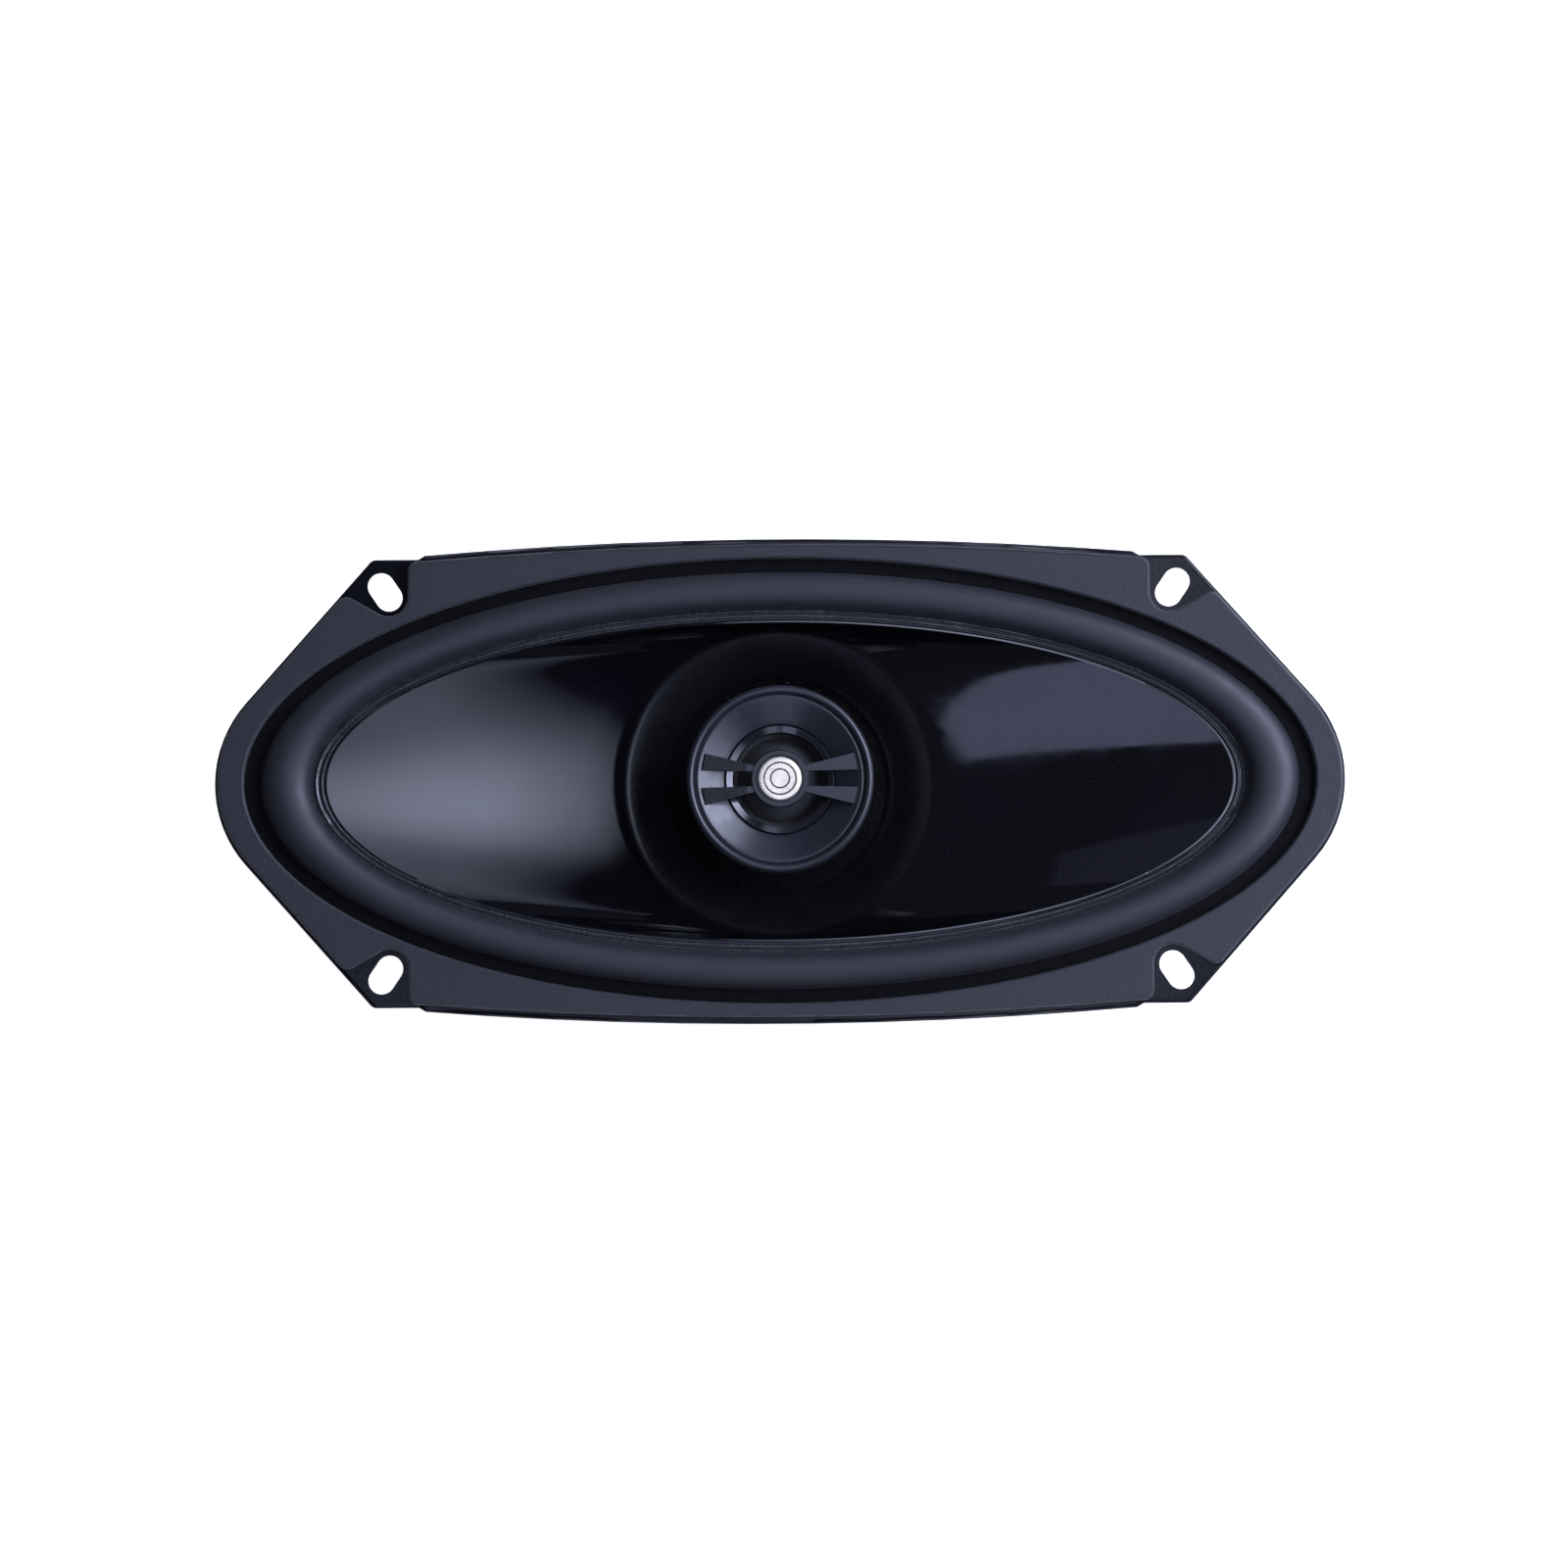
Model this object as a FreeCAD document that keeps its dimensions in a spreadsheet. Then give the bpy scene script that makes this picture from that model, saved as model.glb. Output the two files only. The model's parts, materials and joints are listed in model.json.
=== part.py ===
"""Coaxial 4 x 10 inch car loudspeaker: an elliptical woofer with a dome tweeter on a centre post.

Frame: +Z is the listening axis, +X runs along the long side, and the origin is the centre of
the mounting plane, which is the lower edge of the flange's turned lip. Lengths are millimetres.
"""
import FreeCAD, Part

import math
import os
import re

import Sketcher

SIZES = {
    # mounting flange of the pressed steel basket
    "flange_half_width": 55.5,
    "flange_shoulder_x": 81.0,
    "flange_shoulder_y": 52.2,
    "tab_shoulder_x": 82.5,
    "tab_half_width": 51.3,
    "tab_corner_radius": 1.8,
    "end_centre": 101.0,
    "end_radius": 28.0,
    "side_angle": 48.5,
    "steel": 1.2,
    "flange_top": 2.2,
    "slot_pitch_x": 180.0,
    "slot_pitch_y": 87.5,
    "slot_width": 6.1,
    "slot_length": 9.4,
    "slot_angle": 56.0,
    # front gasket
    "gasket_height": 2.4,
    "gasket_half_length": 122.1,
    "gasket_half_width": 50.8,
    "gasket_edge_inset": 1.6,
    "gasket_side_inset": 0.9,
    "gasket_notch_radius": 4.4,
    "gasket_corner_radius": 2.4,
    "gasket_edge_round": 0.5,
    # basket bowl
    "wall_top_x": 114.6,
    "wall_top_y": 45.8,
    "wall_knee_x": 112.5,
    "wall_knee_y": 45.0,
    "wall_knee_drop": 3.0,
    "shelf_radius": 42.5,
    "shelf_inner_radius": 32.4,
    "shelf_height": -29.0,
    "floor_radius": 30.4,
    "floor_height": -34.5,
    "floor_hole_radius": 16.5,
    # magnet assembly
    "motor_top": -35.7,
    "top_plate_thickness": 5.0,
    "plate_radius": 37.0,
    "top_plate_bore": 13.9,
    "magnet_thickness": 13.0,
    "magnet_radius": 40.0,
    "magnet_bore": 18.0,
    "back_plate_thickness": 5.0,
    "pole_radius": 12.35,
    "post_bore": 4.05,
    "nut_recess_radius": 8.0,
    "nut_recess_depth": 4.5,
    "channel_width": 4.4,
    "channel_depth": 2.4,
    "rivet_circle": 24.0,
    "rivet_radius": 2.0,
    "rivet_head_radius": 3.4,
    "rivet_head_height": 1.1,
    # voice coil, cone, surround and spider
    "former_inner": 12.7,
    "former_outer": 12.9,
    "former_length": 21.6,
    "neck_height": -22.6,
    "winding_outer": 13.5,
    "winding_length": 11.0,
    "cone_neck_top": -23.4,
    "cone_neck_radius": 14.2,
    "cone_foot_drop": 2.2,
    "cone_bowl_radius": 25.0,
    "cone_bowl_height": -12.0,
    "cone_crease_radius": 35.6,
    "cone_crease_height": -7.2,
    "cone_edge_x": 103.6,
    "cone_edge_y": 36.3,
    "cone_rim_x": 106.9,
    "cone_rim_y": 39.1,
    "cone_rim_height": 1.6,
    "cone_wall": 0.8,
    "collar_radius": 14.2,
    "rubber": 0.6,
    "crown_x": 112.6,
    "crown_y": 43.4,
    "roll_half_x": 5.7,
    "roll_half_y": 4.2,
    "roll_rise": 4.0,
    "surround_edge_x": 123.3,
    "surround_edge_y": 52.0,
    "spider_radius": 38.0,
    "spider_cloth": 0.5,
    "spider_wave": 1.1,
    "spider_first_wave": 15.0,
    "spider_pitch": 1.7,
    "spider_waves": 10,
    # tweeter post and pod
    "post_radius": 4.0,
    "post_hollow": 2.6,
    "post_shoulder": 5.5,
    "post_top": -10.0,
    "post_spigot": 2.4,
    "post_opening_half": 3.0,
    "post_opening_foot": 9.5,
    "thread_end": 1.7,
    "nut_corner_radius": 7.5,
    "nut_thickness": 2.8,
    "pod_radius": 21.3,
    "pod_waist_radius": 14.6,
    "pod_seam": 3.0,
    "pod_foot_radius": 8.0,
    "cup_seat_radius": 13.0,
    "pad_near": 13.8,
    "pad_far": 19.6,
    "pad_half_width": 8.5,
    "pad_foot": -1.4,
    "plate_near": 14.9,
    "plate_far": 19.4,
    "plate_half_width": 8.0,
    "plate_thickness": 1.2,
    "solder_tag_place": 5.6,
    "solder_tag_half": 1.2,
    "solder_tag_near": 17.8,
    "solder_tag_thickness": 0.6,
    "solder_tag_length": 3.8,
    "pod_crest": 9.4,
    "dish_radius": 18.9,
    "dish_edge": 8.7,
    "throat_radius": 12.5,
    "throat_edge": 5.3,
    "plug_radius": 6.7,
    "plug_top": 8.8,
    "rib_foot": 6.3,
    "rib_top": 8.6,
    "rib_reach": 17.7,
    "rib_inner_x": 5.0,
    "rib_outer_x": 18.5,
    "rib_gap_inner": 1.7,
    "rib_gap_outer": 2.0,
    "rib_edge_inner": 2.8,
    "rib_edge_outer": 6.2,
    "badge_radius": 4.9,
    "dome_radius": 9.75,
    "dome_base": 1.2,
    "dome_rise": 3.2,
    "cup_radius": 11.9,
    "cup_bore": 10.35,
    "cup_floor": -7.0,
    "gap_top": -0.8,
    "tweeter_pole": 9.25,
    "diaphragm_ring_radius": 12.9,
    "diaphragm_edge": 12.4,
    # terminals
    "tab_face": 50.0,
    "tab_half": 11.0,
    "tab_foot": -43.0,
    "board_thickness": 1.6,
    "board_overhang": 2.0,
    "board_top": -29.5,
    "blade_thickness": 0.8,
    "blade_place": 8.0,
    "blade_foot": -54.0,
    "blade_top": -35.5,
    "positive_half_width": 3.15,
    "negative_half_width": 2.4,
    "blade_hole_radius": 0.9,
    "blade_hole_height": -50.5,
    "tag_half_width": 2.0,
    "tag_foot": -38.0,
    "tag_top": -28.0,
    "board_rivet_radius": 1.8,
    "board_rivet_head": 0.9,
    "board_rivet_upper": -34.5,
    "board_rivet_lower": -40.5,
    "capacitor_height": -34.6,
    "capacitor_radius": 4.2,
    "capacitor_length": 14.0,
    "lead_radius": 0.6,
    "tinsel_radius": 0.5,
}

UP = FreeCAD.Vector(0, 0, 1)
ORIGIN = FreeCAD.Vector(0, 0, 0)
QUADRANTS = [(1, 1), (-1, 1), (-1, -1), (1, -1)]

doc = FreeCAD.newDocument("coaxial_speaker")
sheet = doc.addObject("Spreadsheet::Sheet", "Sizes")
nodes = {}


def fill_sheet():
    """Write every driving dimension to the sheet under its alias."""
    for row, (alias, number) in enumerate(SIZES.items(), start=1):
        sheet.set(f"A{row}", alias)
        sheet.set(f"B{row}", str(number))
        sheet.setAlias(f"B{row}", alias)
    doc.recompute()


def size(alias):
    """A driving dimension, read from the sheet."""
    return float(sheet.get(alias))


def bound(text):
    """The expression with its size names turned into references to the sheet."""
    return re.sub(r"[a-z][a-z_]+", lambda found: "Sizes." + found.group(), text)


def worth(text):
    """The number that an expression of size names comes to."""
    return float(sheet.evalExpression(bound(text)))


def keep(label, feature):
    """Name a finished sub-part's object after its node."""
    feature.Label = label
    nodes[label] = feature
    return feature


# ---- building helpers: parametric bodies ----


def new_sketch(body, name, role):
    """A sketch on one of the body's own origin planes."""
    sketch = body.newObject("Sketcher::SketchObject", name)
    plane = next(item for item in body.Origin.OriginFeatures if item.Role == role)
    sketch.AttachmentSupport = (plane, [""])
    sketch.MapMode = "FlatFace"
    return sketch


def pin_point(sketch, side, x_text, y_text):
    """Hold the first point of a side at the place that two expressions give."""
    for kind, text in (("DistanceX", x_text), ("DistanceY", y_text)):
        place = Sketcher.Constraint(kind, -1, 1, side[0], side[1], worth(text))
        index = sketch.addConstraint(place)
        sketch.setExpression(f"Constraints[{index}]", bound(text))


def draw_outline(sketch, corners, arcs=None):
    """Closed outline through corners; arcs maps a side to its radius, positive bulging to its left."""
    arcs = arcs or {}
    points = [FreeCAD.Vector(worth(x), worth(y), 0) for x, y in corners]
    ends = []
    for index, here in enumerate(points):
        there = points[(index + 1) % len(points)]
        radius = arcs.get(index)
        if radius is None:
            line = sketch.addGeometry(Part.LineSegment(here, there), False)
            ends.append(((line, 1), (line, 2)))
            continue
        chord = there - here
        rise = abs(radius) - math.sqrt(radius**2 - (chord.Length / 2) ** 2)
        left = FreeCAD.Vector(-chord.y, chord.x, 0).normalize()
        middle = (here + there) / 2 + left * math.copysign(rise, radius)
        clockwise = radius > 0
        first, last = (there, here) if clockwise else (here, there)
        arc = sketch.addGeometry(Part.Arc(first, middle, last), False)
        ends.append(((arc, 2), (arc, 1)) if clockwise else ((arc, 1), (arc, 2)))
        sketch.addConstraint(Sketcher.Constraint("Radius", arc, abs(radius)))
    for index, (_, last) in enumerate(ends):
        following = ends[(index + 1) % len(ends)][0]
        sketch.addConstraint(Sketcher.Constraint("Coincident", *last, *following))
    for (first, _), (x_text, y_text) in zip(ends, corners):
        pin_point(sketch, first, x_text, y_text)


def turned(label, corners, arcs=None):
    """A body of revolution about Z, from its half section as (radius, height) expressions."""
    body = doc.addObject("PartDesign::Body", label)
    sketch = new_sketch(body, label + "_section", "XZ_Plane")
    draw_outline(sketch, corners, arcs)
    spin = body.newObject("PartDesign::Revolution", label + "_turn")
    spin.Profile = sketch
    spin.ReferenceAxis = (sketch, ["V_Axis"])
    spin.Angle = 360
    return body


def padded(label, corners, foot, length, role="XY_Plane"):
    """A body raised from an outline by length, starting at foot above its plane."""
    body = doc.addObject("PartDesign::Body", label)
    sketch = new_sketch(body, label + "_outline", role)
    draw_outline(sketch, corners)
    pad = body.newObject("PartDesign::Pad", label + "_pad")
    pad.Profile = sketch
    pad.setExpression("Length", bound(length))
    sketch.setExpression("AttachmentOffset.Base.z", bound(foot))
    return body


# ---- building helpers: primitives and booleans ----


def box(name, low, high):
    """A Part box between two corners given as expressions."""
    solid = doc.addObject("Part::Box", name)
    for side, start, end in zip(("Length", "Width", "Height"), low, high):
        solid.setExpression(side, bound(f"({end}) - ({start})"))
    for axis, start in zip("xyz", low):
        solid.setExpression(f"Placement.Base.{axis}", bound(start))
    return solid


def rod(name, radius, low, high, x="0", y="0"):
    """A Part cylinder along Z between two heights."""
    solid = doc.addObject("Part::Cylinder", name)
    solid.setExpression("Radius", bound(radius))
    solid.setExpression("Height", bound(f"({high}) - ({low})"))
    for axis, place in zip("xyz", (x, y, low)):
        solid.setExpression(f"Placement.Base.{axis}", bound(place))
    return solid


def cut(name, base, *tools):
    """The base with every tool taken away."""
    for index, tool in enumerate(tools):
        step = doc.addObject("Part::Cut", f"{name}_cut_{index}")
        step.Base = base
        step.Tool = tool
        base = step
    return base


def fuse(name, *members):
    """Several objects joined into one solid."""
    joined = doc.addObject("Part::MultiFuse", name + "_joined")
    joined.Shapes = list(members)
    return joined


def group(name, *members):
    """Several separate solids kept together in one object."""
    together = doc.addObject("Part::Compound", name + "_set")
    together.Links = list(members)
    return together


def feature(name, shape):
    """A Part feature that holds a ready shape."""
    made = doc.addObject("Part::Feature", name)
    made.Shape = shape
    made.Placement = FreeCAD.Placement()
    return made


# ---- building helpers: elliptical shapes and leads ----


def ellipse_wire(semi_x, semi_y, height):
    """A closed ellipse, or a circle where the two half axes agree, in a level plane."""
    centre = FreeCAD.Vector(0, 0, height)
    if semi_x - semi_y < 0.001:
        return Part.Wire(Part.Circle(centre, UP, semi_x).toShape())
    return Part.Wire(Part.Ellipse(centre, semi_x, semi_y).toShape())


def elliptic_stack(stations):
    """A solid through level ellipses (semi_x, semi_y, height) in rising order; equal heights are steps."""
    layers = []
    for low, high in zip(stations, stations[1:]):
        if high[2] - low[2] > 0.001:
            rings = [ellipse_wire(*low), ellipse_wire(*high)]
            layers.append(Part.makeLoft(rings, True, True))
    return layers[0].fuse(layers[1:]) if len(layers) > 1 else layers[0]


def open_ended(stations, spare=1.0):
    """The stations run on past both ends, so that the stack cuts right through."""
    first, last = stations[0], stations[-1]
    below = (first[0], first[1], first[2] - spare)
    above = (last[0], last[1], last[2] + spare)
    return [below, *stations, above]


def flange_outline(edge_inset, side_inset, height, stepped=True):
    """Outline of the flange, moved in along its long edges and slanted ends; its tabs are a step lower."""
    slant = math.radians(90 - size("side_angle"))
    radius = size("end_radius") - side_inset
    touch_x = size("end_centre") + radius * math.cos(slant)
    touch_y = radius * math.sin(slant)
    shoulder_y = size("flange_shoulder_y") - edge_inset
    corner_y = size("tab_half_width") - edge_inset if stepped else shoulder_y
    corner_x = touch_x - (corner_y - touch_y) * math.tan(slant)
    quarter = [(size("flange_shoulder_x"), shoulder_y), (corner_x, corner_y), (touch_x, touch_y)]
    if stepped:
        quarter.insert(1, (size("tab_shoulder_x"), corner_y))
    tip = size("end_centre") + radius
    crown = size("flange_half_width") - edge_inset

    def at(x, y):
        return FreeCAD.Vector(x, y, height)

    edges = []
    for side in (1, -1):
        right = [at(x, side * y) for x, y in quarter]
        left = [at(-x, side * y) for x, y in quarter]
        edges.append(Part.Arc(left[0], at(0, side * crown), right[0]).toShape())
        for run in (right, left):
            edges += [Part.LineSegment(a, b).toShape() for a, b in zip(run, run[1:])]
    for side in (1, -1):
        ends = [at(side * touch_x, touch_y), at(side * touch_x, -touch_y)]
        edges.append(Part.Arc(ends[0], at(side * tip, 0), ends[1]).toShape())
    return Part.Wire(Part.__sortEdges__(edges))


def prism(wire, height):
    """A level outline raised by a height."""
    return Part.Face(wire).extrude(FreeCAD.Vector(0, 0, height))


def slot_prism(sign_x, sign_y, radius, foot, height):
    """A round-ended slot through one mounting tab, pointing at the middle of the flange."""
    angle = math.atan2(
        sign_y * math.sin(math.radians(size("slot_angle"))),
        sign_x * math.cos(math.radians(size("slot_angle"))),
    )
    reach = (size("slot_length") - size("slot_width")) / 2
    centre = FreeCAD.Vector(sign_x * size("slot_pitch_x") / 2, sign_y * size("slot_pitch_y") / 2, foot)
    along = FreeCAD.Vector(math.cos(angle), math.sin(angle), 0)
    across = FreeCAD.Vector(-along.y, along.x, 0)
    inner = centre - along * reach
    outer = centre + along * reach
    edges = [
        Part.LineSegment(inner + across * radius, outer + across * radius).toShape(),
        Part.Arc(outer + across * radius, outer + along * radius, outer - across * radius).toShape(),
        Part.LineSegment(outer - across * radius, inner - across * radius).toShape(),
        Part.Arc(inner - across * radius, inner - along * radius, inner + across * radius).toShape(),
    ]
    return prism(Part.Wire(edges), height)


def polygon_prism(points, foot, height):
    """A straight-sided outline at a foot height, raised."""
    corners = [FreeCAD.Vector(x, y, foot) for x, y in points]
    return prism(Part.makePolygon([*corners, corners[0]]), height)


def upright_edges(solid):
    """The straight edges of a solid that run along Z."""
    found = []
    for edge in solid.Edges:
        start, end = edge.Vertexes[0].Point, edge.Vertexes[-1].Point
        run = end - start
        if run.Length > 0.1 and abs(abs(run.z) - run.Length) < 1e-6:
            found.append(edge)
    return found


def rounded_path(points):
    """Straight runs joined by tangent arcs, each as large as its two runs allow."""
    share = 0.45
    edges = []
    radii = []
    start = points[0]
    for before, corner, after in zip(points, points[1:], points[2:]):
        arriving = corner - before
        leaving = after - corner
        reach = share * min(arriving.Length, leaving.Length)
        half_turn = arriving.getAngle(leaving) / 2
        radius = reach / math.tan(half_turn)
        inward = (leaving.normalize() - arriving.normalize()).normalize()
        arc_start = corner - arriving * reach
        arc_end = corner + leaving * reach
        centre = corner + inward * math.hypot(radius, reach)
        edges.append(Part.LineSegment(start, arc_start).toShape())
        edges.append(Part.Arc(arc_start, centre - inward * radius, arc_end).toShape())
        radii.append(round(radius, 1))
        start = arc_end
    edges.append(Part.LineSegment(start, points[-1]).toShape())
    return Part.Wire(edges), radii


def lead(label, route, radius):
    """A round lead along a route of corner points; its bend radii are printed."""
    points = [FreeCAD.Vector(*place) for place in route]
    path, radii = rounded_path(points)
    ring = Part.Wire(Part.Circle(points[0], points[1] - points[0], radius).toShape())
    solid = path.makePipeShell([ring], True, False)
    ideal = math.pi * radius**2 * path.Length
    if abs(solid.Volume - ideal) > 0.02 * ideal:
        raise ValueError(f"{label}: the tube's volume is off its length")
    print(label, "length", round(path.Length, 1), "bend radii", radii)
    return keep(label, feature(label, solid))


# ---- basket and gasket ----


def make_basket():
    """Pressed steel basket: lipped flange, deep elliptical bowl, spider shelf, motor seat, terminal tab."""
    steel = size("steel")
    top = size("flange_top")
    plate = prism(flange_outline(0, 0, 0), top)
    corners = [edge for edge in upright_edges(plate) if abs(edge.CenterOfMass.x) > 90
               and abs(edge.CenterOfMass.y) > 40]
    plate = plate.makeFillet(size("tab_corner_radius"), corners)
    rim = [edge for edge in plate.Edges if abs(edge.BoundBox.ZMin - top) < 1e-6]
    plate = plate.makeFillet(1.0, rim)
    hollow = prism(flange_outline(steel, steel, -1), top - steel + 1)
    opening = prism(ellipse_wire(size("wall_top_x") - steel / 2, size("wall_top_y") - steel / 2, 0), top + 1)
    flange = plate.cut(hollow).cut(opening)

    knee = -size("wall_knee_drop")
    shelf = size("shelf_height")
    floor = size("floor_height")
    wall_end = top - steel / 2
    outer = elliptic_stack([
        (size("floor_radius") + steel, size("floor_radius") + steel, floor - steel),
        (size("shelf_inner_radius") + steel, size("shelf_inner_radius") + steel, shelf - steel),
        (size("shelf_radius"), size("shelf_radius"), shelf - steel),
        (size("wall_knee_x"), size("wall_knee_y"), knee),
        (size("wall_top_x"), size("wall_top_y"), wall_end),
    ])
    inner = elliptic_stack([
        (size("floor_radius"), size("floor_radius"), floor),
        (size("shelf_inner_radius"), size("shelf_inner_radius"), shelf),
        (size("shelf_radius") - steel / 2, size("shelf_radius") - steel / 2, shelf),
        (size("wall_knee_x") - steel, size("wall_knee_y") - steel, knee),
        (size("wall_top_x") - steel, size("wall_top_y") - steel, wall_end),
        (size("wall_top_x") - steel, size("wall_top_y") - steel, wall_end + 5),
    ])
    bowl = outer.cut(inner)
    solid = flange.fuse([bowl, terminal_tab(steel)])
    cutters = window_cutters()
    cutters.append(Part.makeCylinder(size("floor_hole_radius"), 10, FreeCAD.Vector(0, 0, floor - 5)))
    for angle in rivet_angles():
        cutters.append(Part.makeCylinder(size("rivet_radius"), 10, rivet_place(angle, floor - 5)))
    for sign_x, sign_y in QUADRANTS:
        cutters.append(slot_prism(sign_x, sign_y, size("slot_width") / 2, -5, 15))
    return keep("basket", feature("basket", solid.cut(cutters)))


def terminal_tab(steel):
    """Tab turned down from the bowl behind one end, which carries the terminal board."""
    face = size("tab_face")
    half = size("tab_half")
    joint_height = -26.6
    return Part.makeBox(steel, 2 * half, joint_height - size("tab_foot"),
                        FreeCAD.Vector(face, -half, size("tab_foot")))


def window_cutters():
    """Tools for the windows: four in the sloping ends, two in each long wall."""
    tools = []
    end_window = [(56, 5), (100, 5), (84, 24), (52, 26)]
    side_window_x = (9, 33)
    side_window_z = (-25, -8)
    corner = 3.0
    for sign_x, sign_y in QUADRANTS:
        end = polygon_prism([(sign_x * x, sign_y * y) for x, y in end_window], -40, 38)
        tools.append(end.makeFillet(corner, upright_edges(end)))
        width = side_window_x[1] - side_window_x[0]
        height = side_window_z[1] - side_window_z[0]
        left = side_window_x[0] if sign_x > 0 else -side_window_x[1]
        front = 38 if sign_y > 0 else -50
        tools.append(Part.makeBox(width, 12, height, FreeCAD.Vector(left, front, side_window_z[0])))
    return tools


def rivet_angles():
    """Angles of the four rivets that hold the basket to the top plate."""
    return [45 + 90 * turn for turn in range(4)]


def rivet_place(angle, height):
    """A point on the rivet circle."""
    reach = size("rivet_circle")
    return FreeCAD.Vector(reach * math.cos(math.radians(angle)), reach * math.sin(math.radians(angle)), height)


def make_gasket():
    """Soft front gasket on the flange: it covers the surround's edge and is notched round each slot."""
    foot = size("flange_top")
    height = size("gasket_height")
    ring = prism(flange_outline(size("gasket_edge_inset"), size("gasket_side_inset"), foot, False), height)
    opening = prism(ellipse_wire(size("gasket_half_length"), size("gasket_half_width"), foot - 1), height + 2)
    rebate_wire = ellipse_wire(size("surround_edge_x") + 0.05, size("surround_edge_y") + 0.05, foot - 1)
    ring = ring.cut(opening).cut(prism(rebate_wire, 1 + size("rubber") + 0.02))
    notches = [notch_tool(sign_x, sign_y, foot - 1, height + 2) for sign_x, sign_y in QUADRANTS]
    ring = ring.cut(notches)
    reach = size("tab_shoulder_x") + 1
    lobes = [edge for edge in upright_edges(ring)
             if abs(edge.CenterOfMass.x) > reach and lobe_corner(edge.CenterOfMass)]
    ring = ring.makeFillet(size("gasket_corner_radius"), lobes)
    top = ring.BoundBox.ZMax
    rims = [edge for edge in ring.Edges if abs(edge.BoundBox.ZMin - top) < 1e-6]
    return keep("front_gasket", feature("front_gasket", ring.makeFillet(size("gasket_edge_round"), rims)))


def slot_inner_end():
    """Centre of the inner round end of the slot in the +X +Y quadrant."""
    reach = (size("slot_length") - size("slot_width")) / 2
    angle = math.radians(size("slot_angle"))
    return (size("slot_pitch_x") / 2 - reach * math.cos(angle),
            size("slot_pitch_y") / 2 - reach * math.sin(angle))


def notch_tool(sign_x, sign_y, foot, height):
    """Tool for one notch: round the slot's inner end, open to the two outer edges."""
    centre_x, centre_y = slot_inner_end()
    radius = size("gasket_notch_radius")
    flank = math.radians(30)
    across = (centre_x + radius * math.sin(flank), centre_y - radius * math.cos(flank))
    run = 14
    outline = [
        (centre_x - radius, 60),
        (centre_x - radius, centre_y),
        across,
        (across[0] + run * math.cos(flank), across[1] + run * math.sin(flank)),
        (110, 60),
    ]
    wedge = polygon_prism([(sign_x * x, sign_y * y) for x, y in outline], foot, height)
    middle = FreeCAD.Vector(sign_x * centre_x, sign_y * centre_y, foot)
    return wedge.fuse(Part.makeCylinder(radius, height, middle))


def lobe_corner(place):
    """Whether a place is one of the gasket's free corners beside a notch."""
    centre_x, centre_y = slot_inner_end()
    away = math.hypot(abs(place.x) - centre_x, abs(place.y) - centre_y)
    return 1.3 * size("gasket_notch_radius") < away < 16


# ---- magnet assembly ----


def make_motor():
    """Top plate, ferrite ring and the yoke with its pole, bore, nut recess and lead channel."""
    plate_foot = "motor_top - top_plate_thickness"
    magnet_foot = plate_foot + " - magnet_thickness"
    yoke_foot = magnet_foot + " - back_plate_thickness"
    plate = turned("top_plate_blank", [
        ("top_plate_bore", plate_foot),
        ("plate_radius - 0.6", plate_foot),
        ("plate_radius", plate_foot + " + 0.6"),
        ("plate_radius", "motor_top - 0.6"),
        ("plate_radius - 0.6", "motor_top"),
        ("top_plate_bore", "motor_top"),
    ])
    holes = [rod(f"plate_hole_{index}", "rivet_radius", plate_foot + " - 1", "motor_top + 1", *rivet_xy(angle))
             for index, angle in enumerate(rivet_angles())]
    keep("top_plate", cut("top_plate", plate, *holes))
    keep("ferrite_magnet", turned("ferrite_magnet", [
        ("magnet_bore", magnet_foot),
        ("magnet_radius - 0.9", magnet_foot),
        ("magnet_radius", magnet_foot + " + 0.9"),
        ("magnet_radius", plate_foot + " - 0.9"),
        ("magnet_radius - 0.9", plate_foot),
        ("magnet_bore", plate_foot),
    ]))
    blank = turned("yoke_blank", [
        ("post_bore", "motor_top"),
        ("pole_radius - 0.4", "motor_top"),
        ("pole_radius", "motor_top - 0.4"),
        ("pole_radius", magnet_foot),
        ("plate_radius - 0.6", magnet_foot),
        ("plate_radius", magnet_foot + " - 0.6"),
        ("plate_radius", yoke_foot + " + 1.2"),
        ("plate_radius - 1.2", yoke_foot),
        ("nut_recess_radius", yoke_foot),
        ("nut_recess_radius", yoke_foot + " + nut_recess_depth"),
        ("post_bore", yoke_foot + " + nut_recess_depth"),
    ])
    channel = box("lead_channel", ("6", "0 - channel_width / 2", yoke_foot + " - 1"),
                  ("plate_radius + 1", "channel_width / 2", yoke_foot + " + channel_depth"))
    keep("yoke", cut("yoke", blank, channel))


def rivet_xy(angle):
    """Expressions for a rivet's place on its circle."""
    return (f"rivet_circle * {math.cos(math.radians(angle)):.6f}",
            f"rivet_circle * {math.sin(math.radians(angle)):.6f}")


def make_rivets():
    """Four rivets with low domed heads that hold the basket to the top plate."""
    members = []
    for index, angle in enumerate(rivet_angles()):
        x, y = rivet_xy(angle)
        shank = rod(f"rivet_shank_{index}", "rivet_radius - 0.03",
                    "motor_top - top_plate_thickness", "floor_height + 0.1", x, y)
        head = doc.addObject("Part::Cone", f"rivet_head_{index}")
        head.setExpression("Radius1", bound("rivet_head_radius"))
        head.setExpression("Radius2", bound("rivet_head_radius - 1.2"))
        head.setExpression("Height", bound("rivet_head_height"))
        for axis, place in zip("xyz", (x, y, "floor_height")):
            head.setExpression(f"Placement.Base.{axis}", bound(place))
        members.append(fuse(f"rivet_{index}", shank, head))
    keep("plate_rivets", group("plate_rivets", *members))


# ---- moving parts of the woofer ----


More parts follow.
